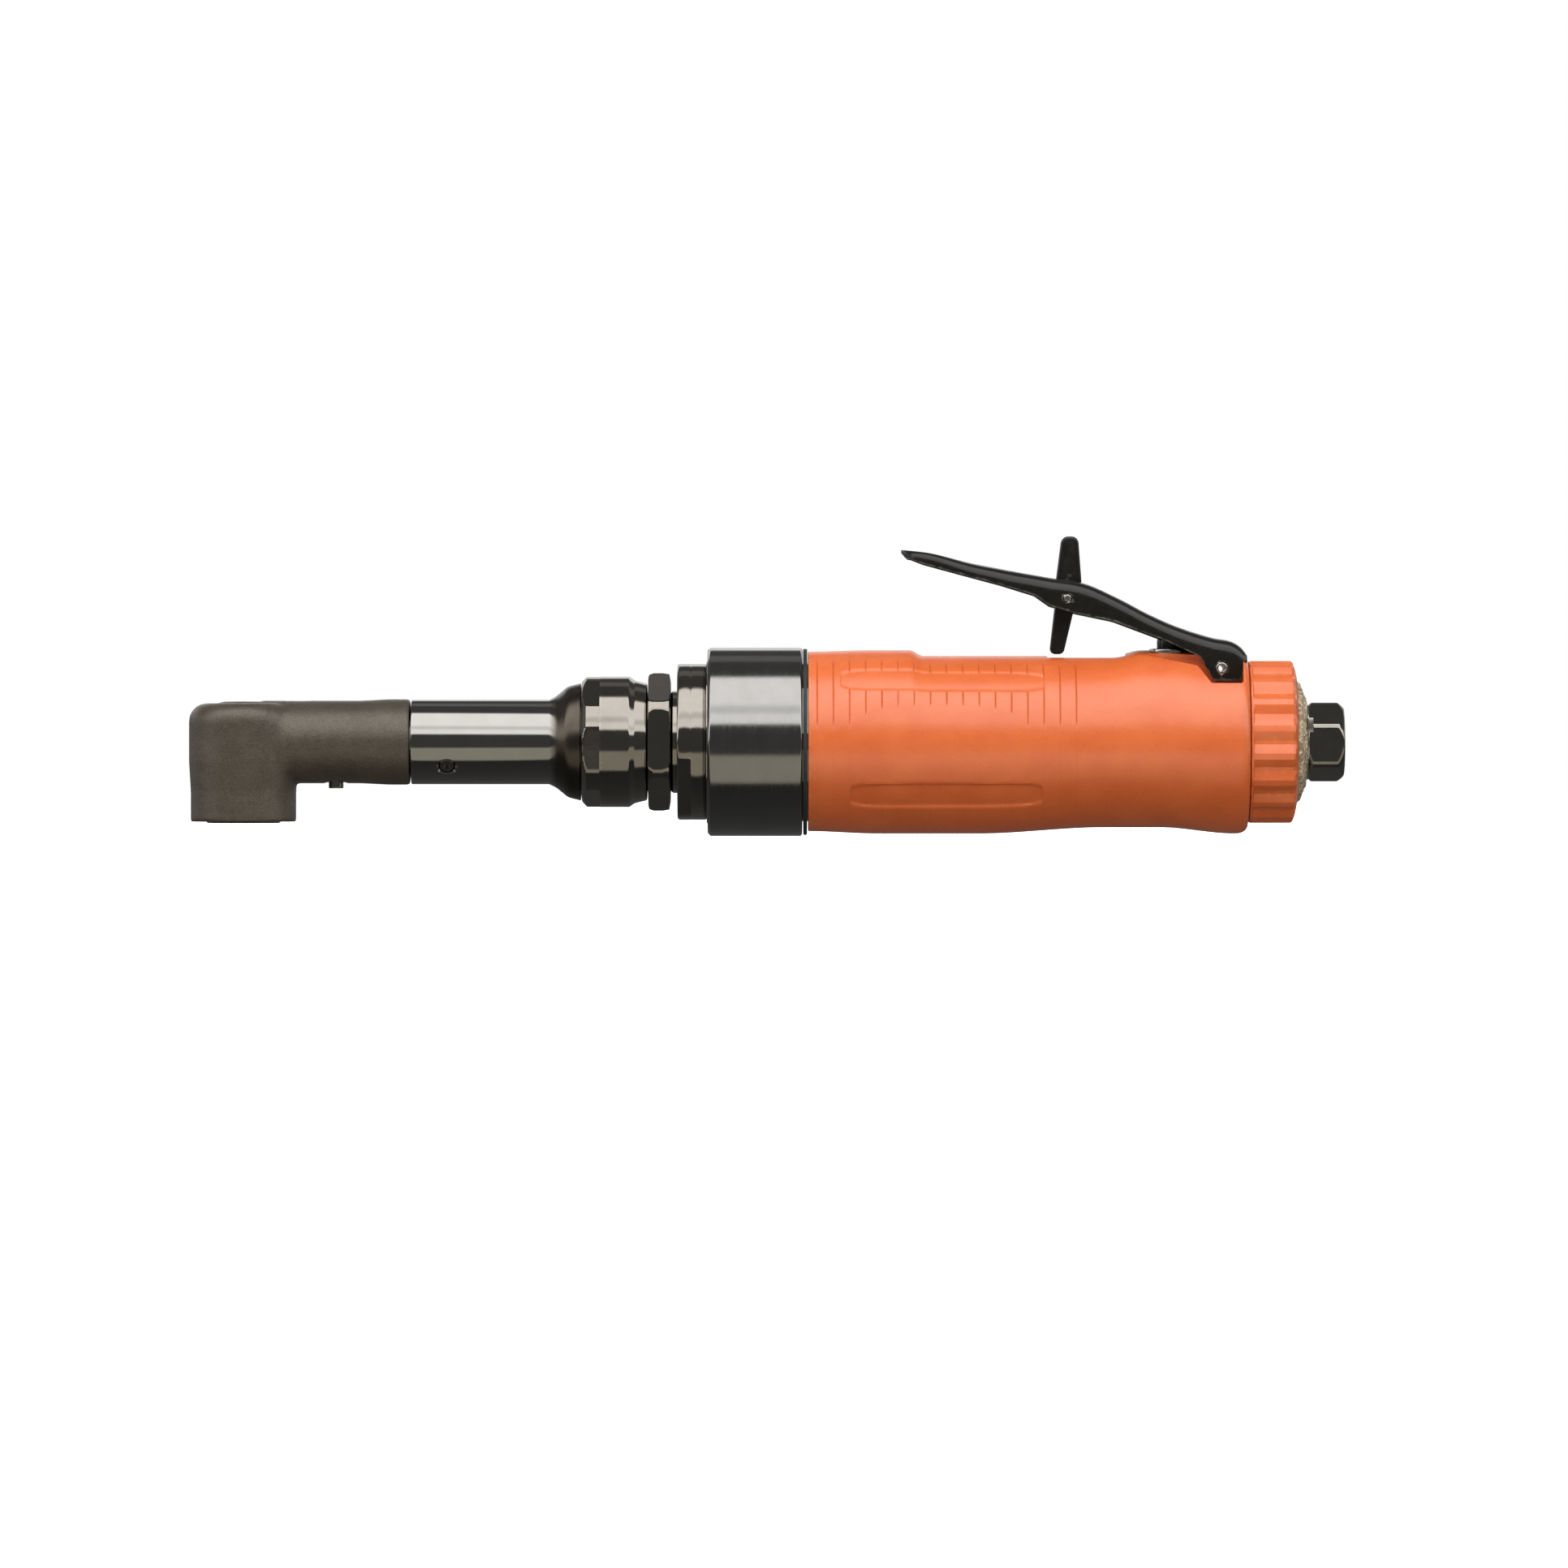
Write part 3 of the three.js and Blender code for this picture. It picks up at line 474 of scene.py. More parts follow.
def polished_tube():
    """Mirror tube whose flared bell is darker and less polished."""
    shader = Shader("polished tube", Metallic=1.0)
    bell = shader.axis_mask("X", BELL_START, BELL_START + 0.0016)
    mirror = shader.mix(shader.noise(260, 4), (0.325, 0.315, 0.295), (0.37, 0.36, 0.34))
    dark = shader.mix(shader.noise(500, 4), (0.075, 0.063, 0.05), (0.11, 0.094, 0.078))
    shader.set("Base Color", shader.mix(bell, mirror, dark))
    smooth = shader.patchy(420, 5, 0.05, 0.09)
    shader.set("Roughness", shader.math("ADD", smooth, shader.math("MULTIPLY", bell, 0.2)))
    shader.bump(turning_lines(shader, 9000, 60), 0.0000006)
    return shader.material


def black_oxide():
    """Dark turned steel with a hard gloss."""
    shader = metal("black oxide", (0.25, 0.228, 0.2), (0.33, 0.303, 0.27), (0.5, 0.46, 0.4), 0.075, 2200, 0.3)
    shader.bump(turning_lines(shader, 7000, 80), 0.0000012)
    return shader.material


def satin_collar():
    """Turned collar whose gloss varies from ring to ring."""
    shader = metal("satin collar", (0.27, 0.262, 0.25), (0.33, 0.322, 0.31), (0.6, 0.58, 0.55), 0.12, 1500)
    rings = turning_lines(shader, 5200, 25, 3, 0.6)
    shader.set("Roughness", shader.ramp(rings, 0.09, 0.16, 0.3, 0.7))
    shader.bump(rings, 0.0000012)
    return shader.material


def orange_composite():
    """Moulded grip: soft sheen, painted shade darkening its grooves and paler rubbed edges."""
    shader = Shader("orange composite", Specular_IOR_Level=0.75)
    tone = shader.mottled(120, 4, (0.545, 0.103, 0.024), (0.6, 0.128, 0.033))
    # Painted shade: points in the grooves are darkened unevenly toward a deep red-brown, in place of the
    # shade that falls in them.
    groove_shade = shader.math("MULTIPLY", shader.attribute("groove_shade_share"), shader.patchy(800, 4, 0.35, 1.0), True)
    tone = shader.mix(shader.math("MULTIPLY", groove_shade, 0.5), tone, (0.3, 0.05, 0.013))
    shader.set("Base Color", shader.worn(tone, (0.85, 0.26, 0.09), 0.35, 600))
    shader.set("Roughness", shader.patchy(500, 5, 0.25, 0.33))
    shader.bump(shader.noise(160, 2), 0.00012, 0.2)
    return shader.material


def lever_black():
    """Black enamel, worn on its edges."""
    shader = Shader("lever black", Metallic=0.1, Coat_Weight=0.12, Coat_Roughness=0.1,
                    Specular_IOR_Level=0.42)
    tone = shader.mix(shader.noise(300, 4), (0.006, 0.0053, 0.0042), (0.012, 0.0105, 0.0085))
    shader.set("Base Color", shader.worn(tone, (0.16, 0.145, 0.12), 0.6, 800, 5, start=0.8, stop=1.15))
    shader.set("Roughness", shader.patchy(700, 5, 0.16, 0.3))
    shader.bump(shader.noise(2600, 3), 0.00001, 0.6)
    return shader.material


def bright_steel():
    """Ground steel of the pins, the inlet and the washer."""
    edge = (0.75, 0.73, 0.68)
    return metal("bright steel", (0.5, 0.48, 0.43), (0.62, 0.6, 0.55), edge, 0.22, 3000).material


def plain_steel(name, tone, roughness):
    """Turned steel for the inner pieces."""
    light = tuple(min(1, value * 1.25) for value in tone)
    bare = tuple(min(1, value * 1.7) for value in tone)
    shader = metal(name, tone, light, bare, roughness, 2400)
    shader.bump(turning_lines(shader, 5000, 60), 0.000003)
    return shader.material


def muffler_media():
    """Bonded granules, each one its own tone."""
    shader = Shader("muffler media", Roughness=0.95)
    grains = shader.cells(1700, "Color")
    separate = shader.node("ShaderNodeSeparateColor", Color=grains)
    tone = shader.mix(separate.outputs[0], (0.27, 0.2, 0.12), (0.62, 0.53, 0.38))
    tone = shader.mix(shader.ramp(shader.noise(900, 3), 0, 0.7, 0.45, 0.65), tone, (0.12, 0.085, 0.05))
    shader.set("Base Color", tone)
    shader.bump(shader.cells(1700), 0.0003, 0.9)
    return shader.material


def phenolic():
    """Layered sheet of the vanes."""
    shader = Shader("vane phenolic", Roughness=0.6)
    layers = turning_lines(shader, 40, 3000, 3)
    shader.set("Base Color", shader.mix(layers, (0.12, 0.05, 0.02), (0.22, 0.1, 0.045)))
    shader.bump(layers, 0.00002)
    return shader.material


def black_rubber():
    """Matt seal."""
    shader = Shader("black rubber", Roughness=0.6)
    shader.set("Base Color", shader.mix(shader.noise(900, 3), (0.01, 0.01, 0.01), (0.025, 0.024, 0.022)))
    shader.bump(shader.noise(2600, 3), 0.00002, 0.6)
    return shader.material


MATERIALS = {
    "cast_head": cast_steel(),
    "polished_tube": polished_tube(),
    "black_oxide": black_oxide(),
    "satin_collar": satin_collar(),
    "orange_composite": orange_composite(),
    "lever_black": lever_black(),
    "bright_steel": bright_steel(),
    "bearing_steel": plain_steel("bearing steel", (0.42, 0.42, 0.42), 0.2),
    "gear_steel": plain_steel("gear steel", (0.3, 0.29, 0.27), 0.3),
    "muffler_media": muffler_media(),
    "vane_phenolic": phenolic(),
}
RUBBER = black_rubber()


def add(node, bm, name=None, sharp=32):
    """A detailed piece that stands for one CAD node, in that node's slot and on its body."""
    slot = SLOTS[node]
    return piece(name or f"{node}_detail", bm, MATERIALS[slot], BODY_OF[node], node, sharp)


# ---------------------------------------------------------------- angle head
HEAD = {
    "radius": 11.4, "sleeve": 11.05, "top": 8.5, "bottom": -16.7, "step": -7.1, "edge": 3.7, "bore": 8.6,
    "ledge": 4.8,
}
ARM = {"radius": 8.65, "mouth": 8.95, "end": 34.9, "bore": 6.95}
JOINT = {"reach": 2.6, "lowest": -6.5, "passes": 45}
CAST_VOXEL = 0.32
PLUG_X = 19.4


def near_joint(spot):
    """Whether a point lies by the curve where the arm leaves the barrel."""
    off_barrel = abs(math.hypot(spot.x, spot.y) - HEAD["radius"])
    off_arm = abs(math.hypot(spot.y, spot.z) - ARM["radius"])
    reach = JOINT["reach"]
    return spot.x > 3 and spot.z > JOINT["lowest"] and off_barrel < reach and off_arm < reach


def head_body():
    """Barrel and arm as one casting, with a soft blend where they meet."""
    barrel = upward(turned([
        (HEAD["top"], 0), (HEAD["top"] - 0.05, 4.3, 0.5), (HEAD["top"] - 0.4, 5.2, 0.6),
        (HEAD["top"] - 0.45, HEAD["radius"], HEAD["edge"]), (HEAD["step"] + 3, HEAD["radius"], 8),
        (HEAD["step"] - 3, HEAD["sleeve"], 8), (HEAD["bottom"], HEAD["sleeve"], 0.3),
        (HEAD["bottom"], HEAD["bore"], 0.3), (HEAD["ledge"], HEAD["bore"]), (HEAD["ledge"], 5.4),
        (7.3, 5.4), (7.3, 0),
    ], 120))
    arm = turned([
        (4.0, ARM["bore"]), (4.0, ARM["radius"]), (24.5, ARM["radius"], 30), (30.5, ARM["mouth"], 12),
        (ARM["end"], ARM["mouth"], 0.35), (ARM["end"], ARM["bore"]),
    ], 120)
    solid = combined(barrel, "UNION", arm)
    arm_bore = bar(0, ARM["end"] + 1, ARM["bore"])
    barrel_bore = upward(bar(-16, HEAD["ledge"], HEAD["bore"], 120))
    solid = combined(solid, "DIFFERENCE", arm_bore, barrel_bore)
    plug_seat = upward(bar(-12, -8.3, 2.3, 48), PLUG_X)
    solid = combined(solid, "DIFFERENCE", plug_seat)
    solid = reworked(solid, "REMESH", mode="VOXEL", voxel_size=CAST_VOXEL)
    solid = reworked(solid, "SMOOTH", factor=0.5, iterations=5)
    joint = [vert for vert in solid.verts if near_joint(vert.co)]
    for _ in range(JOINT["passes"]):
        bmesh.ops.smooth_vert(solid, verts=joint, factor=0.5,
                              use_axis_x=True, use_axis_y=True, use_axis_z=True)
    add("angle_head_housing", solid, sharp=60)


def head_details():
    """Grease plug, the spindle's threaded nose and the ring that keeps it in."""
    plug = upward(turned([(-9.7, 0), (-9.7, 1.55, 0.25), (-7.4, 1.55), (-7.4, 0)], 48), PLUG_X)
    add("grease_plug", combined(plug, "DIFFERENCE", upward(hex_bar(-10, -9.1, 1.5), PLUG_X)))

    nose = downward(turned([
        (-7.1, 0), (-7.1, 3.0, 0.2), (9.4, 3.0), (9.4, 5.0, 0.2), (16.95, 5.0, 0.35), (16.95, 3.75, 0.1),
        (16.45, 3.3), *[(lerp(16.3, 10.5, i / 18), 3.2 if i % 2 else 3.55) for i in range(19)], (9.0, 0),
    ], 96, 3))
    add("output_spindle", nose)

    ring = downward(turned([
        (14.2, 5.5), (14.2, 8.3), (16.5, 8.3), (16.6, 7.9, 0.1), (17.0, 7.5, 0.15), (17.0, 5.5, 0.15),
    ], 96, 3))
    holes = []
    for k in range(4):
        turn = TURN * (k + 0.5) / 4
        spot = Matrix.Translation((0, 6.55 * math.cos(turn), 6.55 * math.sin(turn)))
        holes.append(downward(place_bm(bar(16.2, 18, 0.55, 24), spot)))
    add("spindle_retainer", combined(ring, "DIFFERENCE", *holes))


# ---------------------------------------------------------------- extension tube and nuts
TUBE_RADIUS = 8.84
SET_SCREW = {"x": 42.8, "tilt": 37}
NUT_BORE = 10.7


def radial_down(bm):
    """Turns a solid drawn along +X to point outward at the set screw, on the -Y side."""
    turn = Matrix.Rotation(-math.radians(SET_SCREW["tilt"]), 4, "X")
    outward = Matrix.Rotation(-math.pi / 2, 4, "Z")
    lift = Matrix.Translation((SET_SCREW["x"], 0, 0))
    return place_bm(bm, lift @ turn.inverted() @ outward)


def extension():
    """Tube with its flared bell, and the set screw in its hole."""
    corners = [
        (35.2, ARM["bore"]), (35.2, TUBE_RADIUS, 0.25), (64.0, TUBE_RADIUS), (65.6, 9.6, 6), (67.9, 11.6, 3),
        (70.7, 12.3, 0.15), (70.7, 9.9), (76.9, 9.9), (76.9, ARM["bore"]),
    ]
    body = turned(corners, 160)
    hole = radial_down(bar(0, 12, 1.75, 40))
    dimple = radial_down(turned([(8.35, 0), (8.35, 1.75), (9.4, 2.8), (9.4, 0)], 40))
    add("extension_tube", combined(body, "DIFFERENCE", hole, dimple))
    screw = radial_down(bar(7.05, 8.3, 1.55, 40, 0.15))
    add("tube_set_screw", combined(screw, "DIFFERENCE", radial_down(hex_bar(7.6, 9, 1.5))))


def flats_cut(stations, across, corner, bore, count=240):
    """Turned ring of (x, radius, cut) stations, with hexagon flats where cut; its corners stay round."""
    phase = math.radians(corner)

    def profile(angle):
        flat = hex_radius(angle, across, phase)
        rim = [(x, soft_min(flat, r, 0.06) if cut else r) for x, r, cut in stations]
        return [(stations[0][0], bore), *rim, (stations[-1][0], bore)]

    return about_x(profile, count)


def coupling_nut():
    """Nut with flats on its front third and a plain turned rear."""
    start, flats_end, end = 70.9, 74.7, 84.6
    front = dense([
        (start, 12.4), (start + 0.15, 12.65), (start + 1.0, 13.55), (start + 1.3, 13.6), (flats_end, 13.6),
    ], 0.35)
    rear = dense(rounded([
        (flats_end + 0.03, 13.65), (80.8, 13.65, 0.6), (82.0, 12.85, 0.5), (end - 0.2, 12.25, 0.15),
        (end, 11.9),
    ], False), 0.5)
    stations = [(x, r, True) for x, r in front] + [(x, r, False) for x, r in rear]
    add("coupling_nut", flats_cut(stations, 25.6, 157.4, NUT_BORE))


def lock_nut():
    """Thin hexagonal nut behind the coupling nut."""
    start, end = 84.8, 89.5
    rim = dense([
        (start, 13.5), (start + 0.2, 14.1), (start + 1.1, 14.42), (end - 1.7, 14.42), (end - 0.3, 14.2),
        (end, 12.7),
    ], 0.3)
    add("lock_nut", flats_cut([(x, r, True) for x, r in rim], 25.8, 147.7, NUT_BORE))


# ---------------------------------------------------------------- gear case and collar
def gear_case():
    """Threaded nose with a flange that has two wrench flats, the wide collar and its seal."""
    flat_centres, flat_at = [math.radians(42), math.radians(222)], 14.2

    def profile(angle):
        flat = min(flat_at / max(0.2, math.cos(angle - centre)) for centre in flat_centres)
        flange = soft_min(16.3, flat, 0.1)
        threads = [(lerp(77.4, 89.2, i / 40), 10.2 if i % 2 else 10.45) for i in range(41)]
        return [
            (77.2, 6.2), (77.2, 10.1), *threads, (89.5, 10.2), (90.0, 10.7), (90.9, 10.7),
            (90.9, flange - 0.35), (91.15, flange - 0.08), (91.3, flange), (93.7, flange), (93.8, 16.25),
            (94.0, 16.3), (96.7, 16.3), (96.9, 16.2), (97.0, 16.0), (97.0, 17.0), (110.7, 17.0),
            (110.7, 15.5), (98.6, 15.5), (98.6, 9.7), (92.0, 9.7), (92.0, 6.2),
        ]

    add("gear_case", about_x(profile, 180))
    collar = turned([
        (97.2, 17.3), (97.2, 19.1, 0.3), (97.8, 19.7, 0.35), (116.7, 19.7, 0.35), (117.05, 19.3, 0.1),
        (117.05, 17.3),
    ], 200)
    add("housing_collar", collar)
    seal = turned([(117.2, 17.35), (117.2, 19.5, 0.25), (118.05, 19.5, 0.25), (118.05, 17.35)], 160)
    piece("collar_seal", seal, RUBBER, "tool_body")


# ---------------------------------------------------------------- grip
GRIP = (118.2, 210.2)
GRIP_TOP = [
    (118.2, 18.9), (131, 19.2), (139.4, 19.2), (142.4, 18.0), (182, 18.0), (188, 19.2), (193.5, 19.2),
    (208, 18.4),
]
GRIP_BOTTOM = [(118.2, 18.7), (133, 19.2), (154, 19.2), (180, 17.9), (192, 17.9), (207.5, 19.2)]
GRIP_SIDE = [(118.2, 18.8), (133, 19.2), (154, 19.1), (180, 18.2), (192, 18.2), (207.5, 19.0)]
PIVOT = (204.6, 15.4)
VALVE_X = 194.1
GROOVES = {"start": 120.1, "pitch": 3.37, "count": 17, "half": 0.2, "depth": 0.17}
PAD = {"x": 145.7, "reach": 18.6, "tilt": -2.5, "spread": 26}
UPPER_PANEL = {"low": 34.5, "high": 52, "x0": 125, "x1": 167.3}
LOWER_PANEL = {"low": -45, "high": -28, "x0": 127, "x1": 167}
TOP_STEP = (139.4, 142.4)


def grip_skin(x, angle):
    """Radius of the grip's plain outer shape."""
    up_down = contour(GRIP_TOP if math.sin(angle) > 0 else GRIP_BOTTOM, x)
    return math.hypot(up_down * math.sin(angle), contour(GRIP_SIDE, x) * math.cos(angle))


def side_tilt(angle):
    """Degrees above the horizontal, the same on both sides of the tool."""
    return math.degrees(math.asin(math.sin(angle)))


def in_band(value, low, high, soft):
    """1 between low and high, 0 outside, eased over soft at both ends."""
    return smoothstep(low - soft, low + soft, value) * (1 - smoothstep(high - soft, high + soft, value))


def pad_mask(x, tilt):
    """Smooth oval pad on each side of the grip."""
    across = abs((x - PAD["x"]) / PAD["reach"])
    along = abs((tilt - PAD["tilt"]) / PAD["spread"])
    return 1 - smoothstep(0.95, 1.03, (across ** 3 + along ** 3) ** (1 / 3))


def panel_mask(x, tilt, low, high, x0, x1):
    """Long sunk panel that narrows at both ends."""
    taper = math.sqrt(max(0, 1 - (abs(2 * (x - x0) / (x1 - x0) - 1)) ** 9))
    centre = (low + high) / 2
    half = (high - low) / 2 * (0.5 + 0.5 * taper)
    ends = in_band(x, x0, x1, 0.25)
    return ends * in_band(tilt, centre - half, centre + half, 1.0)


def grip_detail(x, angle):
    """How far the moulded detail lies under the skin, and how much of it is groove."""
    tilt = side_tilt(angle)
    pad = pad_mask(x, tilt)
    upper = panel_mask(x, tilt, **UPPER_PANEL)
    lower = panel_mask(x, tilt, **LOWER_PANEL)
    index = round((x - GROOVES["start"]) / GROOVES["pitch"])
    index = min(GROOVES["count"] - 1, max(0, index))
    off = abs(x - GROOVES["start"] - index * GROOVES["pitch"]) / GROOVES["half"]
    groove = max(0, 1 - off) * (1 - pad) * (1 - upper) * (1 - lower)
    groove *= 0.18 * in_band(tilt, -62, 75, 5) + 0.82 * in_band(tilt, 10, 62, 3)
    depth = GROOVES["depth"] * groove + 0.2 * upper + 0.36 * lower + 0.04 * pad
    return depth, groove


def grip_stations():
    """Places along the grip, closer together at grooves, panel ends and the step on top."""
    xs = set(round(x, 3) for x in steps(GRIP[0], GRIP[1] - 2.8, 1.1))
    for k in range(GROOVES["count"]):
        centre = GROOVES["start"] + k * GROOVES["pitch"]
        for part in (-1, -0.5, 0, 0.5, 1):
            xs.add(round(centre + part * GROOVES["half"], 3))
    panel_ends = [panel[end] for panel in (UPPER_PANEL, LOWER_PANEL) for end in ("x0", "x1")]
    for edge in (*panel_ends, *TOP_STEP):
        xs.update(round(edge + part, 3) for part in (-0.3, -0.1, 0.1, 0.3))
    ordered = sorted(xs)
    return [x for i, x in enumerate(ordered) if i == 0 or x - ordered[i - 1] > 0.06]


def grip():
    """Hollow grip with its moulded detail, ear pockets, tab pocket and valve bore."""
    stations = grip_stations()
    rear = GRIP[1]
    tail = []
    for i in range(1, 8):
        turn = math.pi / 2 * i / 7
        tail.append((rear - 2.4 + 2.4 * math.sin(turn), 1 - 0.085 * (1 - math.cos(turn))))
    count, bore, chamfer = 288, 16.9, 0.25
    rows, groove_shade_share = [], []
    for i in range(count):
        angle = TURN * i / count
        ring = [(GRIP[0], bore), (GRIP[0], grip_skin(GRIP[0], angle) - chamfer)]
        marks = [0, 0]
        for x in stations:
            depth, groove = grip_detail(x, angle)
            lift = chamfer if x == stations[0] else 0
            ring.append((x + lift * 0.6, grip_skin(x, angle) - depth))
            marks.append(groove)
        ring += [(x, grip_skin(x, angle) * shrink) for x, shrink in tail]
        ring += [(rear, 9.0), (215.9, 9.0), (215.9, 6.5), (204, 6.5), (204, 3.2), (167, 3.2), (167, bore)]
        marks += [0] * (len(ring) - len(marks))
        rows.append([(x, r * math.cos(angle), r * math.sin(angle)) for x, r in ring])
        groove_shade_share.append(marks)
    vertices, faces = grid(rows, True, True)
    bm = bmesh.new()
    # Each point's groove share is kept for the painted shade that darkens the grooves.
    layer = bm.verts.layers.float.new("groove_shade_share")
    made = [bm.verts.new(v) for v in vertices]
    for vert, value in zip(made, (mark for row in groove_shade_share for mark in row)):
        vert[layer] = value
    for face in faces:
        bm.faces.new([made[i] for i in face])
    bmesh.ops.recalc_face_normals(bm, faces=bm.faces)

    inside = 5.3
    ear_pocket = rounded([
        (187.4, 24), (187.4, 18.9, 0.3), (189.4, 18.0, 1), (199.4, 15.9, 1.2), (202.2, 12.2, 0.9),
        (208.9, 12.2, 0.5), (209.3, 24),
    ])
    cutters = [
        plate_y(ear_pocket, inside, 22), plate_y(ear_pocket, -22, -inside),
        soften(block((168.2, 184.8), (-3.8, 3.8), (14.1, 24)), 0.5),
        across_y(bar(-8, 8, 1.4, 40), *PIVOT),
        upward(bar(-6, 25, 4.1), VALVE_X), upward(bar(18.2, 25, 4.7), VALVE_X),
    ]
    add("grip_housing", combined(bm, "DIFFERENCE", *cutters), sharp=28)


# ---------------------------------------------------------------- throttle valve
def valve():
    """The valve's bushing in the grip and the plunger under the lever."""
    bushing = upward(turned([
        (8.0, 1.7), (8.0, 3.8), (18.5, 3.8), (18.5, 4.45, 0.1), (19.5, 4.45, 0.25), (19.5, 3.1, 0.1),
        (15.6, 3.1), (15.6, 1.7),
    ], 64, 3), VALVE_X)
    add("valve_bushing", bushing)
    plunger = upward(turned([
        (4.4, 0), (4.4, 2.2), (5.0, 2.9, 0.2), (7.2, 2.9, 0.2), (7.7, 1.4), (18.9, 1.4), (18.9, 2.8, 0.15),
        (21.9, 2.8, 0.9), (22.3, 0),
    ], 64, 5), VALVE_X)
    add("valve_plunger", plunger)


# ---------------------------------------------------------------- lever and lock-off tab
LEVER = {"half": 7.3, "sheet": 1.6, "bend": 2.3}
LEVER_TOP = [
    (-66.9, 24.8), (-60, 23.9), (-51.6, 21.9), (-36.3, 19.1), (-28.6, 17.8), (-21.5, 14.7), (-15.4, 11.5),
    (-9.3, 8.8), (-2.1, 6.5), (2.0, 5.7), (4.2, 4.4), (5.4, 2.8),
]
LEVER_BOTTOM = [
    (-66.9, 24.3), (-65.8, 23.1), (-62.3, 21.8), (-54.2, 19.6), (-46, 17.4), (-38.9, 15.2), (-35.8, 13.0),
    (-30.7, 11.5), (-22.5, 9.8), (-12.3, 6.0), (-4.4, 2.3), (-1.6, -2.6), (3.8, -2.6), (5.4, 2.7),
]
TAB_PIN = (-32.2, 14.6)


def spline(points, x):
    """Catmull-Rom height at x through (x, height) points in rising x."""
    last = len(points) - 2
    i = max(0, min(last, next((k for k in range(len(points) - 1) if x <= points[k + 1][0]), last)))
    p = [points[max(0, i - 1)], points[i], points[i + 1], points[min(len(points) - 1, i + 2)]]
    t = (x - p[1][0]) / (p[2][0] - p[1][0])
    span = p[2][0] - p[1][0]
    m1 = (p[2][1] - p[0][1]) / (p[2][0] - p[0][0]) * span if p[2][0] > p[0][0] else 0
    m2 = (p[3][1] - p[1][1]) / (p[3][0] - p[1][0]) * span if p[3][0] > p[1][0] else 0
    rise = 3 * t**2 - 2 * t**3
    ends = (1 - rise) * p[1][1] + rise * p[2][1]
    return ends + (t**3 - 2 * t**2 + t) * m1 + (t**3 - t**2) * m2


def polyline(points, x):
    """Height at x on straight lines through (x, height) points."""
    for (xa, a), (xb, b) in zip(points, points[1:]):
        if x <= xb:
            return lerp(a, b, (x - xa) / (xb - xa))
    return points[-1][1]


def lever_section(u):
    """Cross-section of the folded sheet at u, as (y, z): round the outside, back along the inside."""
    tip = LEVER_TOP[0][0]
    top = spline(LEVER_TOP, u)
    thin = LEVER["sheet"] * lerp(0.3, 1, smoothstep(tip, tip + 1.4, u))
    bottom = min(polyline(LEVER_BOTTOM, u), top - thin)
    half = LEVER["half"]
    if u < tip + half:
        half = math.sqrt(max(0.35, half**2 - (tip + half - u) ** 2))
    ridge = 0.5 * smoothstep(tip + 4, tip + 16, u)
    bend = min(LEVER["bend"], half * 0.6, max(0.35, (top - bottom) * 0.62))

    def arch(level, width, radius, floor):
        """Flat-topped arch over a floor, its corners rounded and its crown slightly raised."""
        corner = []
        for j in range(7):
            turn = math.pi / 2 * j / 6
            out, up = radius * math.cos(turn), radius * math.sin(turn)
            corner.append((width - radius + out, level - radius + up))
        crown = [(y, level) for y in steps(-width + radius, width - radius, 1.2)[1:-1]]
        left = [(-y, z) for y, z in corner]
        points = [(-width, floor), *left, *crown, *reversed(corner), (width, floor)]
        fall = [ridge * (1 - (y / LEVER["half"]) ** 2) - ridge for y, _ in points]
        return [(y, z + drop if z > floor else z) for (y, z), drop in zip(points, fall)]

    outer = arch(top, half, bend, bottom)
    inner_width = max(half - thin, half * 0.35)
    inner_floor = min(bottom, top - thin - 0.05)
    inner_radius = min(max(0.2, bend - thin), inner_width * 0.5)
    inner = arch(top - thin, inner_width, inner_radius, min(inner_floor, top - thin - inner_radius - 0.05))
    return outer, inner


def resample(points, total):
    """The same line through evenly spaced points."""
    lengths = [0]
    for a, b in zip(points, points[1:]):
        lengths.append(lengths[-1] + math.dist(a, b))
    picked, k = [], 0
    for i in range(total):
        at = lengths[-1] * i / (total - 1)
        while k < len(points) - 2 and lengths[k + 1] < at:
            k += 1
        t = (at - lengths[k]) / max(1e-9, lengths[k + 1] - lengths[k])
        picked.append((lerp(points[k][0], points[k + 1][0], t), lerp(points[k][1], points[k + 1][1], t)))
    return picked


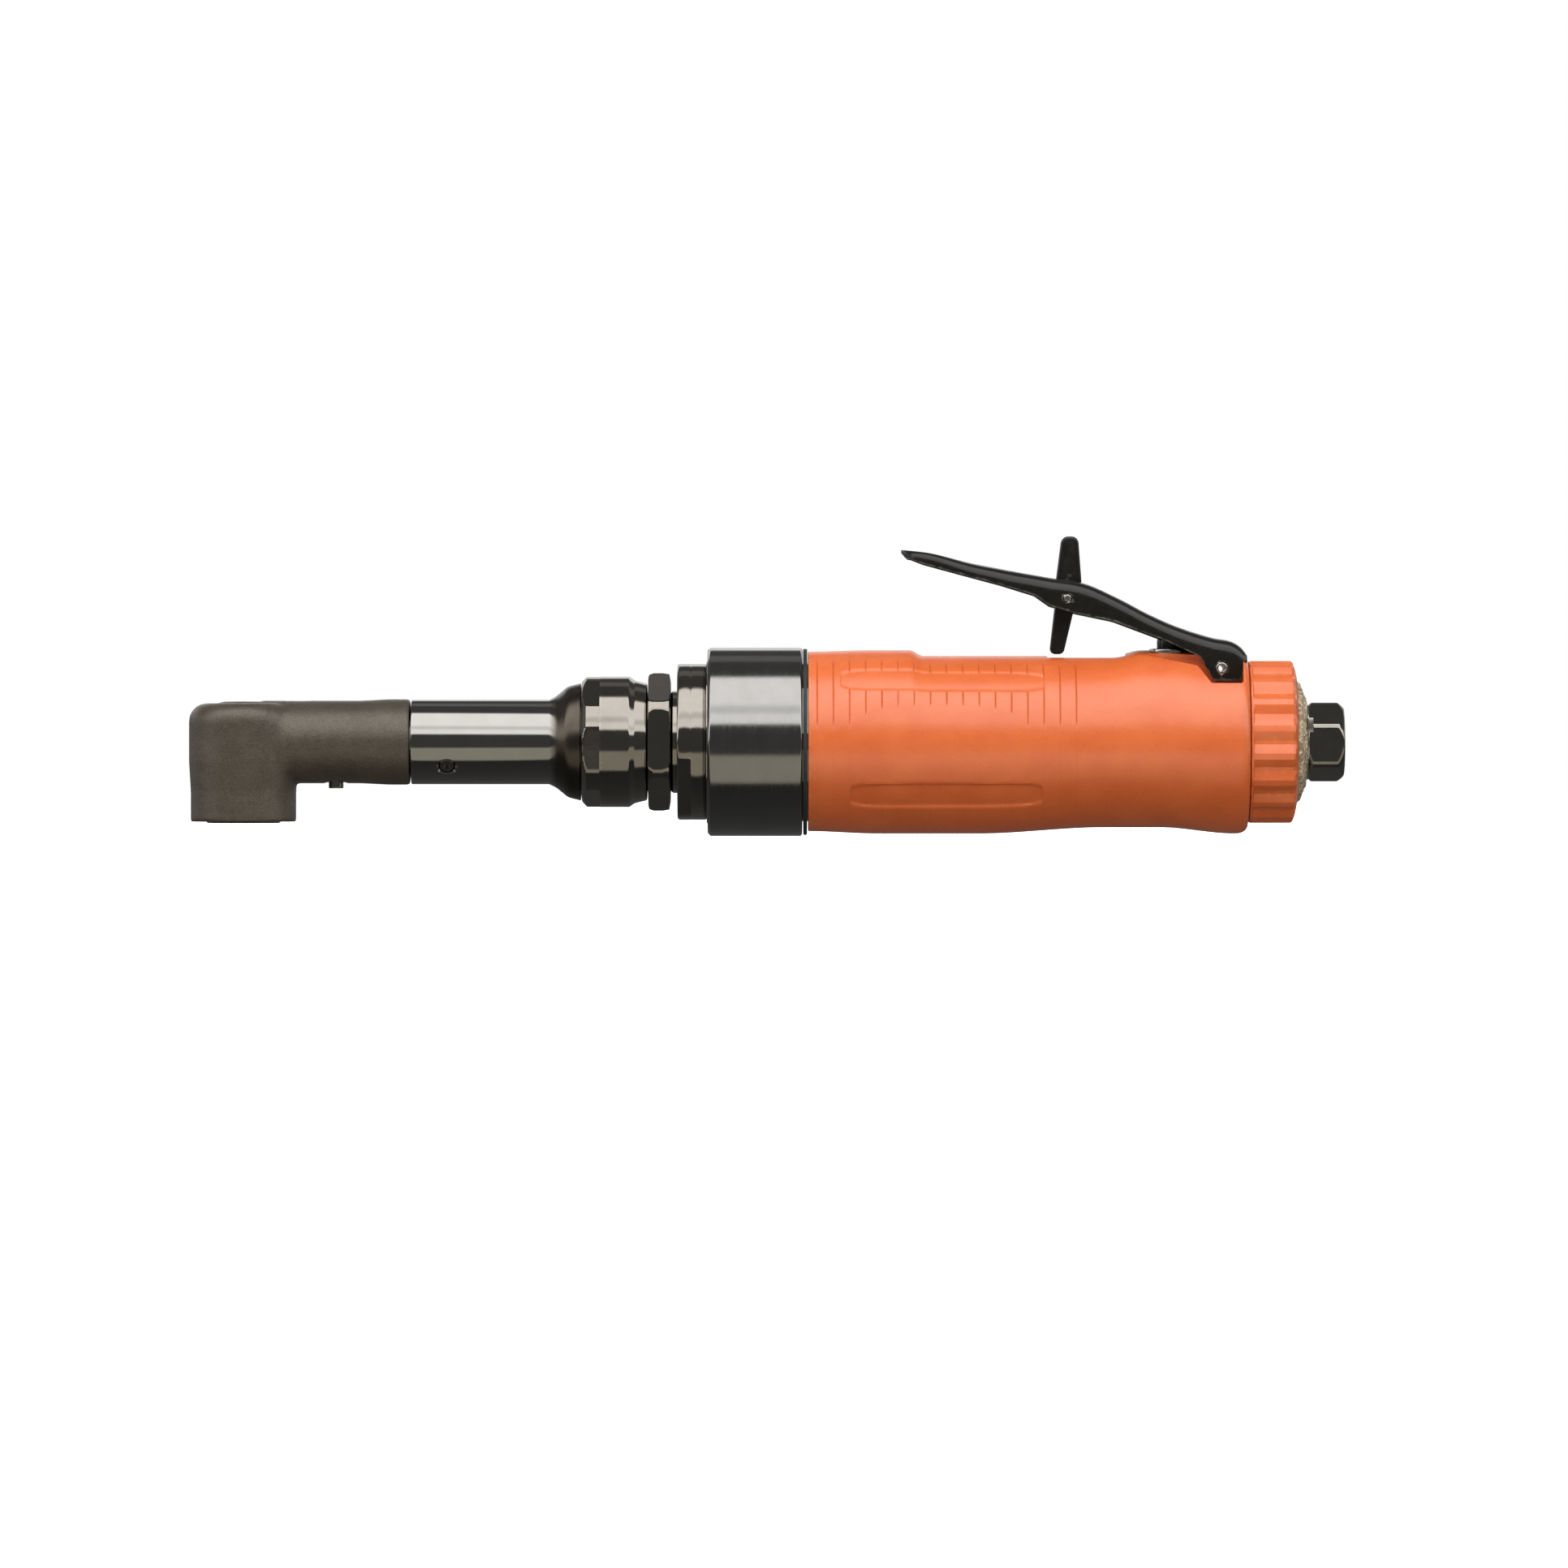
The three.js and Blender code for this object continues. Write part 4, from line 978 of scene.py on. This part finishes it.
def lever():
    """Folded-sheet lever, its split pin, and the lock-off tab with its pin."""
    tip = LEVER_TOP[0][0]
    tip_stations = [tip + 0.02, tip + 0.12, tip + 0.35, tip + 0.8]
    blade, ears = steps(tip + 1.4, -5.2, 0.8), steps(-5.2, 5.3, 0.22)
    stations = sorted({round(u, 3) for u in (*tip_stations, *blade, *ears)})
    count = 72
    rows = []
    for u in stations:
        outer, inner = lever_section(u)
        loop = resample(outer, count) + list(reversed(resample(inner, count)))
        rows.append([(PIVOT[0] + u, y, PIVOT[1] + z) for y, z in loop])
    body = mesh_of(*grid(rows, False, True), close_ends=2 * count)
    u0, u1 = PIVOT[0] - 46.4, PIVOT[0] - 28.2
    slot_outline = rounded([(u0, -3.0, 1.2), (u1, -3.0, 0.8), (u1, 3.0, 0.8), (u0, 3.0, 1.2)])
    slot = place_bm(plate_y(slot_outline, -55, -20), Matrix.Rotation(-math.pi / 2, 4, "X"))
    pin_hole = across_y(bar(-9, 9, 1.38, 40), *PIVOT)
    tab_x, tab_z = PIVOT[0] + TAB_PIN[0], PIVOT[1] + TAB_PIN[1]
    tab_hole = across_y(bar(-9, 9, 0.95, 32), tab_x, tab_z)
    body = combined(body, "DIFFERENCE", slot, pin_hole, tab_hole)
    add("throttle_lever", body, sharp=35)

    half = LEVER["half"]
    tube = turned([(-half, 0.7, 0.1), (-half, 1.25, 0.25), (half, 1.25, 0.25), (half, 0.7, 0.1)], 48, 3)
    seam = block((PIVOT[0] - 0.2, PIVOT[0] + 0.2), (-9, 9), (PIVOT[1] - 3, PIVOT[1]))
    add("lever_pin", combined(across_y(tube, *PIVOT), "DIFFERENCE", seam))

    outline = rounded([
        (-2.35, 3.0, 3), (-1.05, 13.0, 1.45), (2.35, 13.0, 1.45), (3.05, 3.6, 1.2), (1.4, -2.6, 3),
        (-0.75, -11.6, 1.15), (-3.65, -11.6, 1.15), (-2.5, -1.5, 3),
    ], True, 6)
    tab = soften(plate_y([(tab_x + x, tab_z + z) for x, z in outline], -2.5, 2.5), 0.45, 40, 3)
    tab = combined(tab, "DIFFERENCE", across_y(bar(-4, 4, 0.95, 32), tab_x, tab_z))
    add("lock_off_tab", tab)
    tab_pin = across_y(bar(-half - 0.02, half + 0.02, 0.8, 32, 0.2), tab_x, tab_z)
    add("lock_off_pin", tab_pin)


# ---------------------------------------------------------------- exhaust and inlet
def exhaust_collar():
    """Fluted deflector: each flute rises to a ridge and falls again in flat facets."""
    front, rear, flutes = 210.35, 220.45, 18

    def profile(angle):
        along = (angle * flutes / TURN - 0.1) % 1
        height = min(1, along / 0.32, max(0, 0.86 - along) / 0.32)
        outer = 16.95 - 0.75 * (1 - height)
        return [
            (front, 9.4), (front, 16.5), (front + 0.2, 16.9), (front + 0.45, 16.95), (front + 0.75, outer),
            (rear - 1.25, outer), (rear - 0.8, outer - 0.35), (rear - 0.45, min(outer - 0.9, 15.6)),
            (rear - 0.15, 14.2), (rear, 13.4), (rear, 13.0), (front + 1.6, 13.0), (front + 1.6, 9.4),
        ]

    add("exhaust_collar", about_x(profile, flutes * 50), sharp=9)


def muffler():
    """Granular ring, lumpy where it shows."""
    media = rounded([
        (212.4, 9.3), (212.4, 12.7), (220.5, 12.7, 0.3), (221.2, 12.2, 0.3), (222.0, 9.9, 0.5),
        (222.4, 9.3, 0.2), (222.4, 6.6), (215.9, 6.6), (215.9, 9.3),
    ])
    ring = dense([*media, media[0]], 0.35)[:-1]
    solid = about_x(lambda angle: ring, 200)
    for vert in solid.verts:
        if vert.co.x > 219.5 and math.hypot(vert.co.y, vert.co.z) > 7:
            lump = noise.noise(vert.co * 2.3) * 0.1 + noise.noise(vert.co * 5.1) * 0.08
            vert.co += Vector((lump, lump * vert.co.y / 12, lump * vert.co.z / 12))
    add("muffler_ring", solid, sharp=80)


def inlet():
    """Tab washer, hexagonal hose inlet and its screen."""
    washer = turned([(222.5, 6.5), (222.5, 7.9, 0.1), (222.9, 7.9, 0.1), (222.9, 6.5)], 96, 2)
    tongue = soften(block((222.5, 222.9), (-9.4, -6.9), (2.0, 5.0)), 0.08)
    fold = soften(block((222.5, 223.6), (-9.4, -8.95), (2.0, 5.0)), 0.08)
    add("tab_washer", combined(washer, "UNION", tongue, fold))

    start, end, corner = 222.95, 230.4, math.radians(156.5)
    outline = dense([
        (start, 7.7), (start + 0.7, 8.4), (end - 1.5, 8.4), (end - 0.25, 7.35), (end, 6.95),
    ], 0.3)

    def profile(angle):
        flat = hex_radius(angle, 14.75, corner, 0.8)
        rim = [(x, soft_min(flat, r, 0.25)) for x, r in outline]
        threads = [(lerp(end - 0.8, 216.0, i / 26), 5.5 if i % 2 else 5.85) for i in range(27)]
        return [
            (204.5, 3.0), (204.5, 6.1), (start, 6.1), *rim, (end, 6.45), *threads, (214.5, 5.5), (213.2, 3.0),
        ]

    add("inlet_bushing", about_x(profile, 168))
    screen = turned([(214.9, 2.2), (214.9, 5.2, 0.2), (215.7, 5.2, 0.2), (215.7, 2.2)], 96, 2)
    add("inlet_screen", screen)


# ---------------------------------------------------------------- build
head_body()
head_details()
extension()
coupling_nut()
lock_nut()
gear_case()
grip()
valve()
lever()
exhaust_collar()
muffler()
inlet()

for name, obj in frame["nodes"].items():
    obj.data.materials.clear()
    obj.data.materials.append(MATERIALS[SLOTS[name]])

# ---------------------------------------------------------------- floor, light and camera
FLOOR_DROP = 0.0002
FLOOR_REACH = 12.0
VIEW = {"x": 113.2, "z": -8.8, "distance": 2.2, "width": 0.3284}


def floor():
    """Pale ground under the tool, seen by the camera only."""
    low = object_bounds()[0].z - FLOOR_DROP
    mesh = bpy.data.meshes.new("floor")
    reach = FLOOR_REACH
    corners = [(-reach, -reach, low), (reach, -reach, low), (reach, reach, low), (-reach, reach, low)]
    mesh.from_pydata(corners, [], [(0, 1, 2, 3)])
    obj = bpy.data.objects.new("floor", mesh)
    bpy.context.scene.collection.objects.link(obj)
    shader = Shader("pale floor", Roughness=0.9, Emission_Strength=0.75)
    mottle = shader.noise(3, 2)
    shader.set("Base Color", shader.mix(mottle, (0.8, 0.8, 0.8), (0.86, 0.86, 0.86)))
    shader.set("Emission Color", (1, 1, 1, 1))
    mesh.materials.append(shader.material)
    obj.visible_diffuse = False
    obj.visible_glossy = False
    obj.visible_shadow = False
    obj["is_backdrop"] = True


def studio():
    """Plain studio surround: white to the camera, a tall softbox glow and a low grey card to the object."""
    world = bpy.data.worlds.new("studio")
    bpy.context.scene.world = world
    world.use_nodes = True
    nodes, links = world.node_tree.nodes, world.node_tree.links
    background = nodes["Background"]
    coords = nodes.new("ShaderNodeTexCoord")
    separate = nodes.new("ShaderNodeSeparateXYZ")
    links.new(coords.outputs["Generated"], separate.inputs[0])

    def ramp(socket, stops):
        made = nodes.new("ShaderNodeValToRGB")
        elements = made.color_ramp.elements
        while len(elements) < len(stops):
            elements.new(0.5)
        for element, (position, value) in zip(elements, stops):
            element.position = position
            element.color = (*value, 1) if isinstance(value, tuple) else (value, value, value, 1)
        links.new(socket, made.inputs[0])
        return made.outputs[0]

    def maths(operation, *values):
        made = nodes.new("ShaderNodeMath")
        made.operation = operation
        for socket, value in zip(made.inputs, values):
            if isinstance(value, bpy.types.NodeSocket):
                links.new(value, socket)
            else:
                socket.default_value = value
        return made.outputs[0]

    def place_of(degrees):
        """Place on the ramp of an angle round the tool: 0 is level in front, 90 is overhead."""
        return (degrees + 180) / 360

    toward = maths("MULTIPLY", separate.outputs["Y"], -1)
    around = maths("ARCTAN2", separate.outputs["Z"], toward)
    turn = maths("MULTIPLY_ADD", around, 1 / TURN, 0.5)
    card, strength = (0.26, 0.25, 0.21), 2.1
    stops = [
        (-180, 0.12), (-168, 0.05), (-100, 0.03), (-54, 0.02), (-50, card), (-18, card), (-15, 0.045),
        (20, 0.045), (23, 0.95), (33, 0.95), (37, 0.72), (42, 0.72), (48, 1.0), (84, 1.0), (89, 0.05),
        (115, 0.05), (118, 0.12), (130, 0.12), (133, 0.05), (150, 0.05), (154, 0.5), (168, 0.5), (172, 0.1),
        (180, 0.12),
    ]
    bands = ramp(turn, [(place_of(degrees), value) for degrees, value in stops])
    lift = nodes.new("ShaderNodeVectorMath")
    lift.operation = "SCALE"
    lift.inputs["Scale"].default_value = strength
    links.new(bands, lift.inputs[0])
    path = nodes.new("ShaderNodeLightPath")
    seen = nodes.new("ShaderNodeMix")
    seen.data_type = "RGBA"
    links.new(path.outputs["Is Camera Ray"], seen.inputs["Factor"])
    links.new(lift.outputs[0], seen.inputs["A"])
    seen.inputs["B"].default_value = (1, 1, 1, 1)
    links.new(seen.outputs["Result"], background.inputs["Color"])


def area_light(name, position, size, power):
    """Rectangular light aimed at the middle of the tool."""
    data = bpy.data.lights.new(name, "AREA")
    data.shape = "RECTANGLE"
    data.size, data.size_y = size
    data.energy = power
    obj = bpy.data.objects.new(name, data)
    bpy.context.scene.collection.objects.link(obj)
    obj.location = position
    obj.rotation_euler = (-Vector(position)).to_track_quat("-Z", "Y").to_euler()
    obj.visible_camera = False
    obj.visible_glossy = False


def camera():
    """Level side view, as in the photo."""
    data = bpy.data.cameras.new("camera")
    obj = bpy.data.objects.new("camera", data)
    bpy.context.scene.collection.objects.link(obj)
    target = FROM_TOOL @ Vector((VIEW["x"], 0, VIEW["z"]))
    obj.location = target + Vector((0, -VIEW["distance"], 0))
    obj.rotation_euler = (math.pi / 2, 0, 0)
    data.sensor_width = 36
    data.lens = data.sensor_width * VIEW["distance"] / VIEW["width"]
    data.clip_start, data.clip_end = 0.05, 60
    bpy.context.scene.camera = obj


floor()
studio()
area_light("key softbox", (-0.1, -0.5, 0.75), (1.0, 0.6), 4.9)
area_light("front fill", (0.05, -0.9, -0.35), (0.9, 0.3), 3.3)
area_light("back softbox", (0.1, 0.7, 0.6), (1.0, 0.5), 3.0)
camera()
bpy.context.scene.view_settings.view_transform = "Standard"
